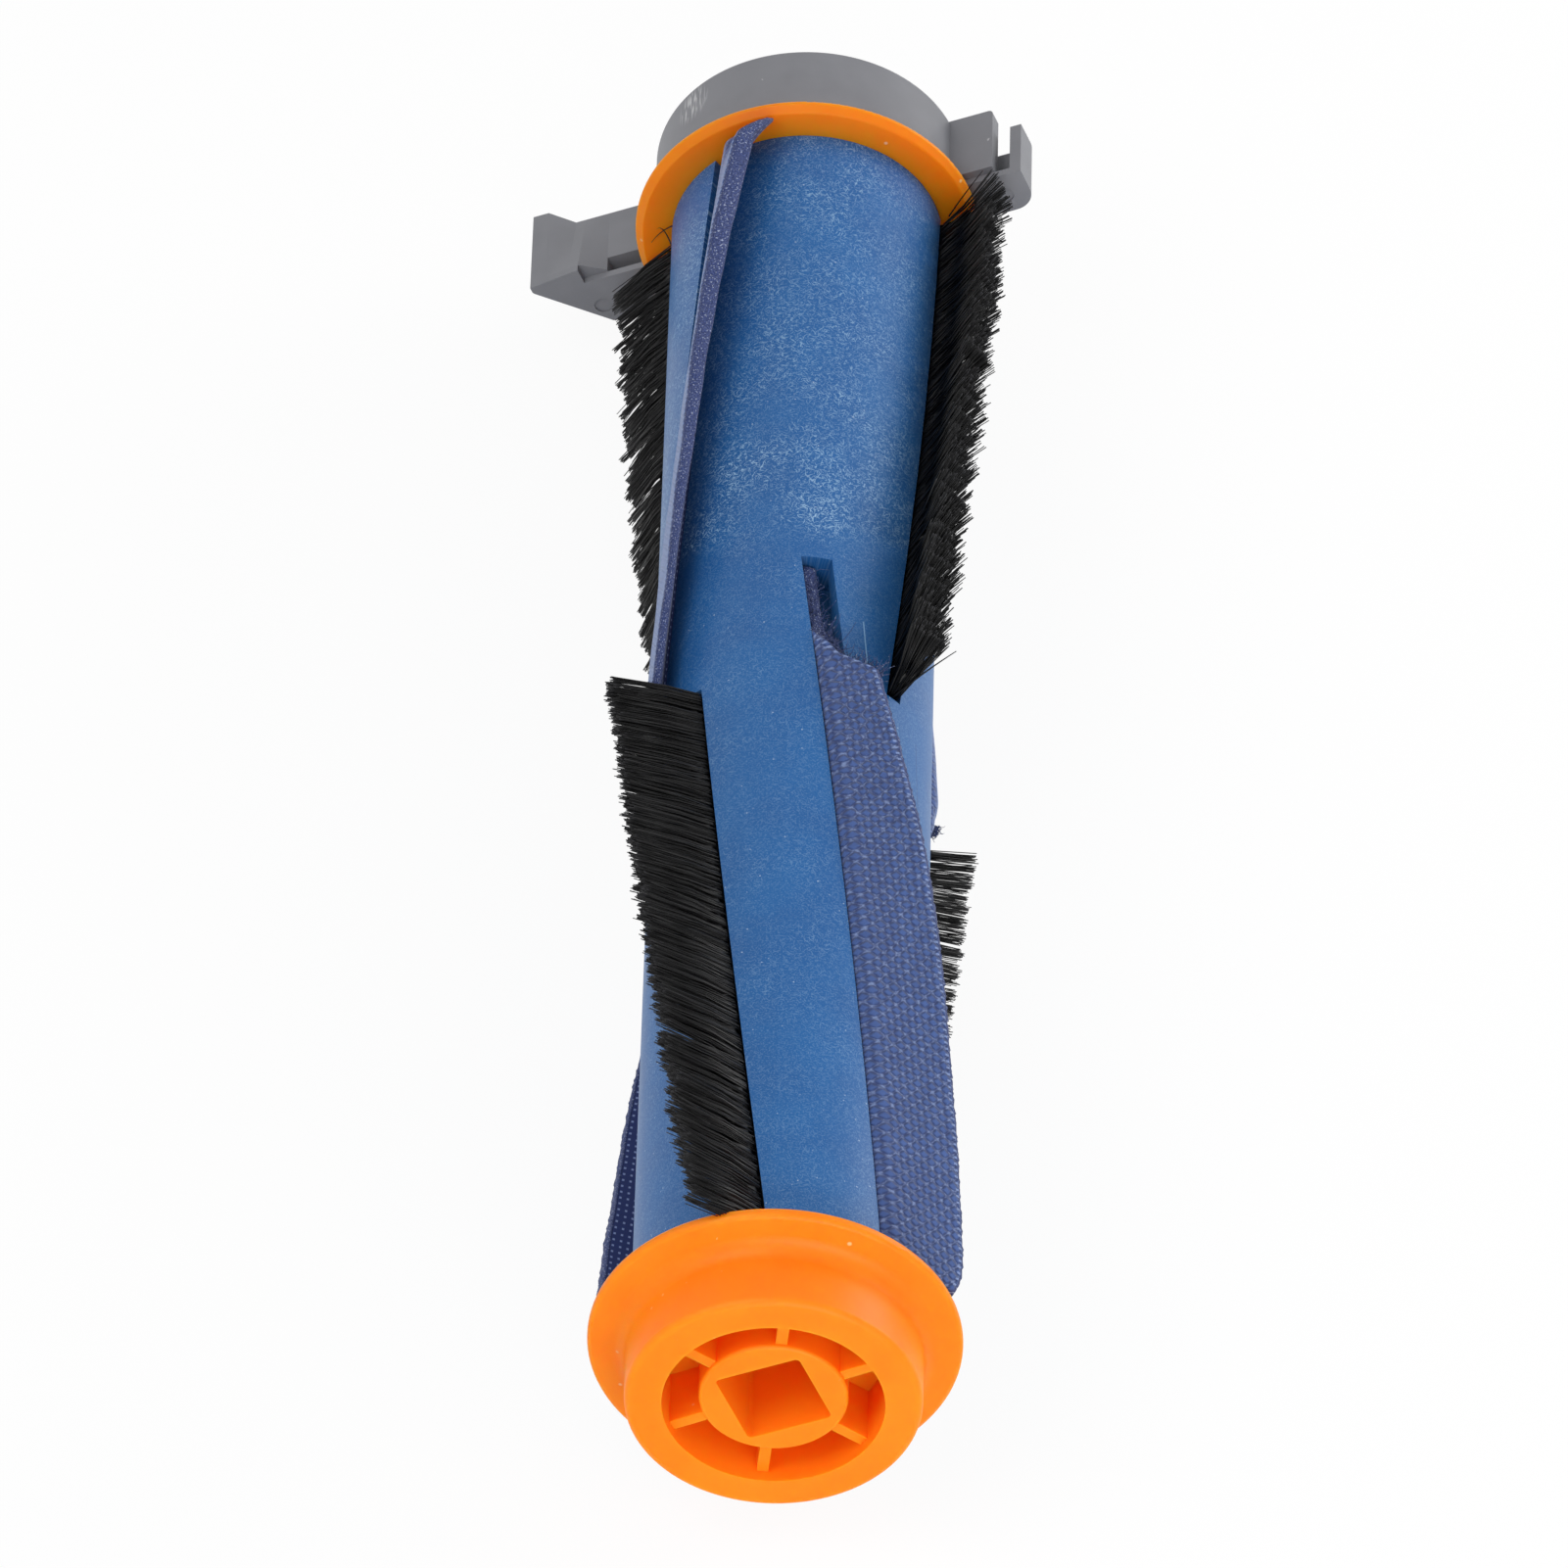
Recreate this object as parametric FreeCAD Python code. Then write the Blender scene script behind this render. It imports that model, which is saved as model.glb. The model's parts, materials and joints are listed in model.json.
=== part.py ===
import FreeCAD
import Part

import math
import os

# Robot vacuum roller brush: the axis lies along Y, with the drive end towards -Y and its ring face at Y = 0.
# All sizes are in millimetres and all angles in degrees. An angle about the axis runs from +Z towards +X.

# Lie of the whole brush: turn about the axis that sets it down on its bristles
rest_turn = -5.7

# Roller core
core_start = 8.9
core_end = 163.1
core_radius = 13.82
core_bore_radius = 8.0
mid_plane = 85.8

# Helix of the slots, the same on both halves and mirrored about the mid plane
helix_rate = 0.485
turn_between_halves = 90.0
strip_sections = 8
seat_clearance = 0.08
cut_overrun = 1.0

# Bristle slots and strips, as angles at the mid plane of the drive half
bristle_angle = -42.7
bristle_slot_width = 1.9
bristle_slot_lip = 1.6
bristle_key_width = 4.2
bristle_key_height = 2.0
bristle_thickness = 1.3
bristle_seat_depth = 1.2
bristle_tip_radius = 21.7
bristle_lean = 36.0
bristle_tip_spread = 2.3
bristle_mid_gap = 0.3
tuft_count = 38
tuft_notch_depth = 2.4
tuft_ragged = 0.9
tuft_share = 0.7
notch_share = 0.85

# Flap slots and flaps, as angles at the mid plane of the drive half; each half's flaps lie on one slot wall
# and lean from the radius by angles set at the mid plane, near the end and at the end
flap_angle = 17.7
flap_slot_width = 3.1
flap_slot_lip = 2.9
flap_key_width = 4.8
flap_key_height = 1.5
flap_thickness = 1.5
flap_bend_size = 1.5
flap_length = 6.75
flap_stub_rise = 0.55
flap_stub_edge = 0.4
flap_slot_overrun = 15.7
flap_cut_start = -4.3
flap_cut_end = 1.2
flap_cut_height = 4.0
flap_taper_end = 37.0
flap_corner_length = 6.5
flap_sections = 16
flap_corner_sections = 5
flap_end_gap = 0.4
flap_late_share = 0.95
drive_flap_lean = 66.0
drive_flap_bend_start = 13.0
drive_flap_corner_drop = 1.9
bearing_flap_mid_lean = 73.0
bearing_flap_late_lean = 57.0
bearing_flap_end_lean = 84.0
bearing_flap_bend_start = 13.5
bearing_flap_corner_drop = 2.8

# Drive end cap
ring_radius = 14.15
ring_bore_radius = 10.6
ring_edge_round = 0.7
drive_flange_radius = 17.85
drive_flange_thickness = 1.9
drive_flange_slope = 0.7
flange_rim_round = 0.55
neck_fillet = 1.8
pocket_floor_thickness = 1.6
boss_radius = 7.1
boss_recess = 0.8
boss_edge_round = 0.4
socket_side = 8.55
socket_depth = 12.0
socket_corner_round = 0.5
socket_turn = 69.2
rib_count = 6
rib_thickness = 1.1
rib_recess = 1.2
rib_turn = 7.0
spigot_length = 11.0
spigot_clearance = 0.1
spigot_lead = 0.8
spigot_floor = 1.5
key_width = 2.4
key_height = 0.9
key_clearance = 0.1

# Bearing end cap
bearing_flange_radius = 17.55
bearing_flange_thickness = 1.2
bearing_flange_bevel = 0.7
bearing_rim_round = 0.3
hub_radius = 5.0
hub_length = 1.7

# Axle, washer and clip
axle_radius = 2.0
axle_seat_depth = 12.0
axle_end_chamfer = 0.3
axle_tail = 1.2
axle_press_gap = 0.04
washer_radius = 4.4
washer_thickness = 0.6
washer_bore_gap = 0.12
clip_radius = 4.0
clip_thickness = 0.6
clip_groove_depth = 0.5
clip_groove_gap = 0.06
clip_mouth = 2.6
end_float = 0.3

# Bearing bush
bush_radius = 4.0
bush_length = 6.0
bush_running_gap = 0.05
bush_press_gap = 0.04
bush_chamfer = 0.3

# Bearing housing
housing_gap = 0.4
housing_radius = 15.65
housing_length = 9.35
housing_wall = 1.6
housing_edge_round = 0.5
rear_boss_radius = 12.9
rear_boss_length = 2.8
bush_boss_radius = 6.6
clip_room_radius = 4.9
housing_rib_count = 6
housing_rib_thickness = 1.2
housing_rib_setback = 3.0
cover_radius = 5.8
cover_thickness = 1.4
cover_gap = 0.06
cover_dish = 0.4
housing_turn = -20.3

# Ears of the housing, as distances out from the axis and above it
ear_bar_depth = 0.8
ear_bar_bottom = -5.4
ear_plate_thickness = 1.65
slotted_ear_reach = 23.1
slotted_ear_prong_width = 1.2
slotted_ear_slot_width = 1.6
slotted_ear_bar_top = -0.45
slotted_ear_plate_top = 0.4
slotted_ear_plate_round = 0.5
slotted_ear_prong_length = 7.0
slotted_ear_floor_length = 5.6
slotted_ear_floor_top = -3.3
slotted_ear_floor_thickness = 1.1
slotted_ear_corner_round = 2.2
raised_ear_reach = 29.9
raised_ear_step_inset = 5.5
raised_ear_back_step_inset = 4.4
raised_ear_foot_inset = 8.1
raised_ear_bar_top = 0.5
raised_ear_plate_top = 0.75
raised_ear_step_top = 2.4
raised_ear_end_top = 1.75
raised_ear_tip_height = 0.75
raised_ear_length = 10.8
raised_ear_tail_width = 1.7
raised_ear_edge_round = 0.5
raised_ear_pocket_length = 2.6
raised_ear_rib_bottom = -4.0
gusset_thickness = 1.4
ejector_mark_radius = 0.95
ejector_mark_depth = 0.15
ejector_mark_inset = 2.7
ejector_mark_level = -3.1

ORIGIN = FreeCAD.Vector(0, 0, 0)
AXIS = FreeCAD.Vector(0, 1, 0)
OPPOSITE = 180.0
SAME_POINT = 1e-6


def rounded_wire(corners, to_point):
    """Closed wire through (a, b, radius) corners, each corner rounded by a tangent arc of its radius."""
    edges = []
    starts = []
    ends = []
    for index, (a, b, radius) in enumerate(corners):
        here = FreeCAD.Vector(a, b, 0)
        before = FreeCAD.Vector(*corners[index - 1][:2], 0) - here
        after = FreeCAD.Vector(*corners[(index + 1) % len(corners)][:2], 0) - here
        if radius == 0:
            starts.append(here)
            ends.append(here)
            continue
        half_angle = before.getAngle(after) / 2
        setback = radius / math.tan(half_angle)
        before.normalize()
        after.normalize()
        bisector = (before + after).normalize()
        middle = here + bisector * (radius / math.sin(half_angle) - radius)
        starts.append(here + before * setback)
        ends.append(here + after * setback)
        edges.append((index, Part.Arc(to_point(starts[-1]), to_point(middle), to_point(ends[-1])).toShape()))
    arcs = dict(edges)
    outline = []
    for index in range(len(corners)):
        if index in arcs:
            outline.append(arcs[index])
        following = (index + 1) % len(corners)
        if ends[index].distanceToPoint(starts[following]) > SAME_POINT:
            outline.append(Part.makeLine(to_point(ends[index]), to_point(starts[following])))
    return Part.Wire(outline)


def turned(corners):
    """Solid of revolution about the axis from (radius, y, rounding) corners."""
    wire = rounded_wire(corners, lambda p: FreeCAD.Vector(p.x, p.y, 0))
    return Part.Face(wire).revolve(ORIGIN, AXIS, 360)


def ring(outer, inner, start, length):
    """Plain ring about the axis, or a disc where the inner radius is zero."""
    solid = Part.makeCylinder(outer, length, FreeCAD.Vector(0, start, 0), AXIS)
    if inner > 0:
        solid = solid.cut(Part.makeCylinder(inner, length, FreeCAD.Vector(0, start, 0), AXIS))
    return solid


def across(corners, start, length):
    """Solid whose (x, z, rounding) outline lies across the axis and runs along it from start."""
    wire = rounded_wire(corners, lambda p: FreeCAD.Vector(p.x, start, p.y))
    return Part.Face(wire).extrude(FreeCAD.Vector(0, length, 0))


def flat(corners, base, height):
    """Solid whose (x, y, rounding) outline lies flat and rises from base by height."""
    wire = rounded_wire(corners, lambda p: FreeCAD.Vector(p.x, p.y, base))
    return Part.Face(wire).extrude(FreeCAD.Vector(0, 0, height))


def about_axis(shape, angle):
    """Copy of a shape turned about the roller's axis."""
    copy = shape.copy()
    copy.rotate(ORIGIN, AXIS, angle)
    return copy


def box_between(x, y, z):
    """Box from pairs of limits along each direction."""
    corner = FreeCAD.Vector(x[0], y[0], z[0])
    return Part.makeBox(x[1] - x[0], y[1] - y[0], z[1] - z[0], corner)


class Half:
    """One half of the roller: sections are placed by their distance from the mid plane."""

    def __init__(self, direction, turn, end, flap_leans, flap_bend_start, flap_corner_drop):
        self.direction = direction
        self.turn = turn
        self.flap_leans = flap_leans
        self.flap_bend_start = flap_bend_start
        self.flap_corner_drop = flap_corner_drop
        self.reach = abs(end - mid_plane)

    def section(self, points, distance, angle):
        """Closed wire through (across, out) points, on a slot's helix at a distance from the mid plane."""
        phi = math.radians(angle + self.turn + helix_rate * distance)
        y = mid_plane + self.direction * distance
        placed = []
        for side, out in points:
            x = out * math.sin(phi) + side * math.cos(phi)
            z = out * math.cos(phi) - side * math.sin(phi)
            placed.append(FreeCAD.Vector(x, y, z))
        return Part.makePolygon(placed + placed[:1])

    def strip(self, profile, angle, start, end):
        """Solid of one constant profile carried along the helix."""
        wires = []
        for step in range(strip_sections + 1):
            distance = start + (end - start) * step / strip_sections
            wires.append(self.section(profile, distance, angle))
        return Part.makeLoft(wires, True, False)


drive_leans = (drive_flap_lean, drive_flap_lean, drive_flap_lean)
drive_half = Half(-1, 0.0, core_start, drive_leans, drive_flap_bend_start, drive_flap_corner_drop)
bearing_leans = (bearing_flap_mid_lean, bearing_flap_late_lean, bearing_flap_end_lean)
bearing_half = Half(
    1, turn_between_halves, core_end, bearing_leans, bearing_flap_bend_start, bearing_flap_corner_drop)
halves = {"drive": drive_half, "bearing": bearing_half}

# Levels of the undercut slots below the core's surface
bristle_key_top = core_radius - bristle_slot_lip
bristle_key_floor = bristle_key_top - bristle_key_height
flap_key_top = core_radius - flap_slot_lip
flap_key_floor = flap_key_top - flap_key_height
slot_mouth = core_radius + cut_overrun


def keyed_profile(neck, key, floor, shoulder, top, gap):
    """Upside-down T: a wide key under a neck, drawn in from its slot by a gap on every side."""
    neck_half = neck / 2 - gap
    key_half = key / 2 - gap
    low = floor + gap
    high = shoulder - gap
    return [
        (-key_half, low),
        (key_half, low),
        (key_half, high),
        (neck_half, high),
        (neck_half, top),
        (-neck_half, top),
        (-neck_half, high),
        (-key_half, high),
    ]


def roller_core():
    """Tube with two undercut bristle slots and two undercut flap slots on each half."""
    core = ring(core_radius, core_bore_radius, core_start, core_end - core_start)
    bristle_slot = keyed_profile(
        bristle_slot_width, bristle_key_width, bristle_key_floor, bristle_key_top, slot_mouth, 0.0)
    flap_slot = keyed_profile(flap_slot_width, flap_key_width, flap_key_floor, flap_key_top, slot_mouth, 0.0)
    cuts = []
    for half in halves.values():
        past_end = half.reach + cut_overrun
        for profile, angle, start in (
                (bristle_slot, bristle_angle, 0.0), (flap_slot, flap_angle, -flap_slot_overrun)):
            slot = half.strip(profile, angle, start, past_end)
            cuts.append(slot)
            cuts.append(about_axis(slot, OPPOSITE))
    keyway_height = core_bore_radius + key_height + key_clearance
    keyway_half = key_width / 2 + key_clearance
    for start, end in ((core_start, core_start + spigot_length), (core_end - spigot_length, core_end)):
        cuts.append(box_between((-keyway_half, keyway_half), (start, end), (0.0, keyway_height)))
    return core.cut(cuts)


def bristle_spine(half):
    """Keyed backing strip with a groove that holds the bristles."""
    gap = seat_clearance
    key_half = bristle_key_width / 2 - gap
    groove_half = bristle_thickness / 2 + gap
    low = bristle_key_floor + gap
    high = bristle_key_top - gap
    groove_floor = high - bristle_seat_depth
    profile = [
        (-key_half, low),
        (key_half, low),
        (key_half, high),
        (groove_half, high),
        (groove_half, groove_floor),
        (-groove_half, groove_floor),
        (-groove_half, high),
        (-key_half, high),
    ]
    return half.strip(profile, bristle_angle, bristle_mid_gap, half.reach - flap_end_gap)


def bristle_row(half):
    """Strip of leaning bristles in tufts, with a ragged edge of full and shorter lengths."""
    root = bristle_key_top - bristle_seat_depth
    lean = math.radians(bristle_lean)
    bend = core_radius
    free = math.sqrt(bristle_tip_radius ** 2 - (bend * math.sin(lean)) ** 2) - bend * math.cos(lean)
    start = bristle_mid_gap
    pitch = (half.reach - flap_end_gap - start) / tuft_count
    half_root = bristle_thickness / 2

    def profile(length, spread):
        tip_side = -length * math.sin(lean)
        tip_out = bend + length * math.cos(lean)
        across_side = spread / 2 * math.cos(lean)
        across_out = spread / 2 * math.sin(lean)
        return [
            (-half_root, root),
            (half_root, root),
            (half_root, bend),
            (tip_side + across_side, tip_out + across_out),
            (tip_side - across_side, tip_out - across_out),
            (-half_root, bend),
        ]

    wires = []
    for tuft in range(tuft_count):
        ragged = tuft_ragged * (0.5 + 0.5 * math.sin(2.4 * tuft * tuft + tuft))
        left = start + tuft * pitch
        full = profile(free - ragged, bristle_tip_spread)
        short = profile(free - tuft_notch_depth, bristle_thickness)
        wires.append(half.section(full, left, bristle_angle))
        wires.append(half.section(full, left + tuft_share * pitch, bristle_angle))
        if tuft < tuft_count - 1:
            wires.append(half.section(short, left + notch_share * pitch, bristle_angle))
    return Part.makeLoft(wires, True, True)


def sweeper_flap(half):
    """Flap with a keyed foot, leaning the other way from the bristles and cut back towards the middle."""
    gap = seat_clearance
    key_half = flap_key_width / 2 - gap
    low = flap_key_floor + gap
    high = flap_key_top - gap
    middle = half.direction * (flap_slot_width - 2 * gap - flap_thickness) / 2
    left = middle - flap_thickness / 2
    right = middle + flap_thickness / 2

    def profile(free_part):
        return [(-key_half, low), (key_half, low), (key_half, high), (right, high)] + free_part + [
            (left, high), (-key_half, high)]

    def leaning(length, lean):
        setback = flap_bend_size * math.tan(lean / 2)
        corner = half.flap_bend_start + setback
        tip_side = middle + (length + setback) * math.sin(lean)
        tip_out = corner + (length + setback) * math.cos(lean)
        across_side = flap_thickness / 2 * math.cos(lean)
        across_out = flap_thickness / 2 * math.sin(lean)
        miter = flap_thickness / 2 * math.tan(lean / 2)
        return [
            (right, corner - miter),
            (tip_side + across_side, tip_out - across_out),
            (tip_side - across_side, tip_out + across_out),
            (left, corner + miter),
        ]

    begin = -flap_slot_overrun + flap_end_gap
    finish = half.reach - flap_end_gap
    corner_start = finish - flap_corner_length

    def free_length(distance):
        taper = min(1.0, max(0.0, (distance - flap_cut_end) / (flap_taper_end - flap_cut_end)))
        ease = (flap_length - flap_cut_height) * math.sin(taper * math.pi / 2)
        into_corner = min(1.0, max(0.0, (distance - corner_start) / flap_corner_length))
        drop = half.flap_corner_drop * (1 - math.sqrt(1 - into_corner ** 2))
        return flap_cut_height + ease - drop

    stub_top = half.flap_bend_start + flap_stub_rise
    stub_low = stub_top - flap_stub_edge
    stub = profile([(right, stub_low), (right, stub_top), (left, stub_top), (left, stub_low)])
    wires = []
    for distance in (begin, flap_cut_start):
        wires.append(half.section(stub, distance, flap_angle))
    stations = []
    for step in range(flap_sections):
        stations.append(flap_cut_end + (corner_start - flap_cut_end) * step / flap_sections)
    for step in range(flap_corner_sections + 1):
        quarter = step / flap_corner_sections * math.pi / 2
        stations.append(corner_start + flap_corner_length * math.sin(quarter))
    mid_lean, late_lean, end_lean = half.flap_leans
    for distance in stations:
        share = max(0.0, distance / finish)
        late = min(1.0, share / flap_late_share)
        last = max(0.0, (share - flap_late_share) / (1 - flap_late_share))
        lean = math.radians(mid_lean + (late_lean - mid_lean) * late + (end_lean - late_lean) * last)
        wires.append(half.section(profile(leaning(free_length(distance), lean)), distance, flap_angle))
    return Part.makeLoft(wires, True, True)


def spigot_key(start, end):
    """Rib on a spigot that stops the core from turning on the cap."""
    top = core_bore_radius + key_height
    return box_between((-key_width / 2, key_width / 2), (start, end), (0.0, top))


def drive_end_cap():
    """Flanged cap with a hub ring, a ribbed boss and a square drive socket, keyed into the core."""
    spigot = core_bore_radius - spigot_clearance
    flange_start = core_start - drive_flange_thickness
    spigot_end = core_start + spigot_length
    body = turned([
        (0.0, 0.0, 0.0),
        (ring_radius, 0.0, ring_edge_round),
        (ring_radius, flange_start, neck_fillet),
        (drive_flange_radius, flange_start + drive_flange_slope, flange_rim_round),
        (drive_flange_radius, core_start, flange_rim_round),
        (spigot, core_start, 0.0),
        (spigot, spigot_end, spigot_lead),
        (0.0, spigot_end, 0.0),
    ])
    body = body.fuse(spigot_key(core_start, spigot_end - spigot_lead))
    pocket_end = core_start - pocket_floor_thickness
    well = ring(ring_bore_radius, 0.0, 0.0, pocket_end)
    boss = turned([
        (0.0, boss_recess, 0.0),
        (boss_radius, boss_recess, boss_edge_round),
        (boss_radius, pocket_end, 0.0),
        (0.0, pocket_end, 0.0),
    ])
    body = body.cut(well.cut(boss))
    for index in range(rib_count):
        angle = rib_turn + index * 360.0 / rib_count
        middle = (boss_radius + ring_bore_radius) / 2
        reach = middle - boss_radius + rib_thickness / 2
        rib = box_between(
            (-rib_thickness / 2, rib_thickness / 2), (rib_recess, pocket_end),
            (middle - reach, middle + reach))
        body = body.fuse(about_axis(rib, angle))
    half_side = socket_side / 2
    square = [(-half_side, -half_side, socket_corner_round), (half_side, -half_side, socket_corner_round),
              (half_side, half_side, socket_corner_round), (-half_side, half_side, socket_corner_round)]
    socket = about_axis(across(square, 0.0, boss_recess + socket_depth), socket_turn)
    return body.cut(socket).removeSplitter()


def bearing_end_cap():
    """Flange with a keyed spigot in the core and a hub that carries the axle."""
    spigot = core_bore_radius - spigot_clearance
    spigot_start = core_end - spigot_length
    flange_end = core_end + bearing_flange_thickness
    hub_end = flange_end + hub_length
    body = turned([
        (0.0, spigot_start, 0.0),
        (spigot, spigot_start, spigot_lead),
        (spigot, core_end, 0.0),
        (bearing_flange_radius - bearing_flange_bevel, core_end, bearing_rim_round),
        (bearing_flange_radius, core_end + bearing_flange_bevel, bearing_rim_round),
        (bearing_flange_radius, flange_end, bearing_rim_round),
        (hub_radius, flange_end, 0.0),
        (hub_radius, hub_end, 0.0),
        (0.0, hub_end, 0.0),
    ])
    body = body.fuse(spigot_key(spigot_start + spigot_lead, core_end))
    seat = ring(axle_radius + axle_press_gap, 0.0, hub_end - axle_seat_depth, axle_seat_depth)
    return body.cut(seat).removeSplitter()


# Places along the axis of what turns in the housing
hub_face = core_end + bearing_flange_thickness + hub_length
washer_face = hub_face + washer_thickness
bush_start = washer_face + end_float
bush_end = bush_start + bush_length
clip_start = bush_end + end_float
clip_end = clip_start + clip_thickness
axle_end = clip_end + clip_groove_gap + axle_tail


def axle_pin():
    """Stub axle with a groove for the clip and a lead at each end."""
    start = hub_face - axle_seat_depth
    groove = axle_radius - clip_groove_depth
    lead = axle_radius - axle_end_chamfer
    return turned([
        (0.0, start, 0.0),
        (lead, start, 0.0),
        (axle_radius, start + axle_end_chamfer, 0.0),
        (axle_radius, clip_start - clip_groove_gap, 0.0),
        (groove, clip_start - clip_groove_gap, 0.0),
        (groove, clip_end + clip_groove_gap, 0.0),
        (axle_radius, clip_end + clip_groove_gap, 0.0),
        (axle_radius, axle_end - axle_end_chamfer, 0.0),
        (lead, axle_end, 0.0),
        (0.0, axle_end, 0.0),
    ])


def thrust_washer():
    """Washer on the axle against the hub."""
    return ring(washer_radius, axle_radius + washer_bore_gap, hub_face, washer_thickness)


def retaining_clip():
    """Open ring that snaps into the axle's groove."""
    bore = axle_radius - clip_groove_depth + clip_groove_gap
    body = ring(clip_radius, bore, clip_start, clip_thickness)
    mouth = box_between((-clip_mouth / 2, clip_mouth / 2), (clip_start, clip_end), (0.0, clip_radius))
    return body.cut(mouth)


def bearing_bush():
    """Plain bush that the axle turns in."""
    bore = axle_radius + bush_running_gap
    lead = bush_radius - bush_chamfer
    return turned([
        (bore, bush_start, 0.0),
        (lead, bush_start, 0.0),
        (bush_radius, bush_start + bush_chamfer, 0.0),
        (bush_radius, bush_end - bush_chamfer, 0.0),
        (lead, bush_end, 0.0),
        (bore, bush_end, 0.0),
    ])


housing_front = core_end + bearing_flange_thickness + housing_gap
housing_step = housing_front + housing_length
housing_back = housing_step + rear_boss_length


def ejector_mark(x):
    """Shallow disc to cut from the front of an ear."""
    centre = FreeCAD.Vector(x, housing_front, ejector_mark_level)
    return Part.makeCylinder(ejector_mark_radius, ejector_mark_depth, centre, AXIS)


def slotted_ear():
    """Ear with a slot between its plate and an outer prong, closed below by a floor."""
    root = rear_boss_radius - housing_wall
    plate_start = housing_front + ear_bar_depth
    prong_start = slotted_ear_reach - slotted_ear_prong_width
    slot_start = prong_start - slotted_ear_slot_width
    floor_low = slotted_ear_floor_top - slotted_ear_floor_thickness
    outline = [
        (root, ear_bar_bottom, 0.0),
        (slotted_ear_reach, ear_bar_bottom, slotted_ear_corner_round),
        (slotted_ear_reach, slotted_ear_bar_top, 0.0),
        (root, slotted_ear_bar_top, 0.0),
    ]
    whole = across(outline, housing_front, slotted_ear_prong_length)
    bar = box_between(
        (root, slotted_ear_reach), (housing_front, plate_start), (ear_bar_bottom, slotted_ear_bar_top))
    floor = box_between(
        (root, slotted_ear_reach), (plate_start, plate_start + slotted_ear_floor_length),
        (floor_low, slotted_ear_floor_top))
    prong = box_between(
        (prong_start, slotted_ear_reach), (plate_start, housing_front + slotted_ear_prong_length),
        (floor_low, slotted_ear_bar_top))
    plate = flat([
        (root, plate_start, 0.0),
        (slot_start, plate_start, 0.0),
        (slot_start, housing_step, slotted_ear_plate_round),
        (root, housing_step, 0.0),
    ], slotted_ear_plate_top - ear_plate_thickness, ear_plate_thickness)
    body = bar.fuse([floor, prong]).common(whole).fuse(plate)
    return body.cut(ejector_mark(slotted_ear_reach - ejector_mark_inset))


def raised_ear():
    """Longer ear with a raised end, a sloping underside and a pocket between its bar and its plate."""
    root = rear_boss_radius - housing_wall
    step = raised_ear_reach - raised_ear_step_inset
    back_step = raised_ear_reach - raised_ear_back_step_inset
    foot = raised_ear_reach - raised_ear_foot_inset
    plate_start = housing_front + ear_bar_depth
    pocket_end = housing_front + raised_ear_pocket_length
    tip_low = raised_ear_end_top - raised_ear_tip_height
    slope_end = raised_ear_reach - (tip_low - ear_bar_bottom)
    bar = across([
        (-root, ear_bar_bottom, 0.0),
        (-root, raised_ear_bar_top, 0.0),
        (-step, raised_ear_bar_top, 0.0),
        (-step, raised_ear_step_top, 0.0),
        (-raised_ear_reach, raised_ear_end_top, 0.0),
        (-raised_ear_reach, tip_low, raised_ear_edge_round),
        (-slope_end, ear_bar_bottom, 0.0),
    ], housing_front, ear_bar_depth)
    plate_low = raised_ear_plate_top - ear_plate_thickness
    plate = box_between(
        (-foot, -root), (pocket_end, housing_step), (plate_low, raised_ear_plate_top))
    tail = raised_ear_reach - raised_ear_tail_width
    tail_back = housing_front + raised_ear_length
    rise = (raised_ear_step_top - raised_ear_end_top) / (raised_ear_reach - step)
    tail_top = raised_ear_end_top + rise * raised_ear_tail_width
    mid_top = raised_ear_end_top + rise * (raised_ear_reach - back_step)
    stations = [
        (raised_ear_reach, tip_low, tail_back, raised_ear_end_top, raised_ear_end_top),
        (tail, tip_low - raised_ear_tail_width, tail_back, raised_ear_end_top, tail_top),
        (back_step, plate_low, housing_step, raised_ear_plate_top, mid_top),
        (step, plate_low, housing_step, raised_ear_plate_top, raised_ear_step_top),
        (foot, plate_low, housing_step, raised_ear_plate_top, raised_ear_plate_top),
    ]
    wires = []
    for reach, bottom, back, back_top, front_top in stations:
        corners = ((plate_start, bottom), (back, bottom), (back, back_top), (plate_start, front_top))
        placed = [FreeCAD.Vector(-reach, y, z) for y, z in corners]
        wires.append(Part.makePolygon(placed + placed[:1]))
    block = Part.makeLoft(wires, True, True)
    rib = box_between(
        (-foot - gusset_thickness, -foot), (plate_start, pocket_end),
        (raised_ear_rib_bottom, plate_low))
    wall = box_between(
        (-foot - gusset_thickness, -root), (pocket_end, pocket_end + gusset_thickness),
        (raised_ear_rib_bottom, plate_low))
    body = bar.fuse([block, plate, rib, wall])
    return body.cut(ejector_mark(-step + gusset_thickness / 2))


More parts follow.
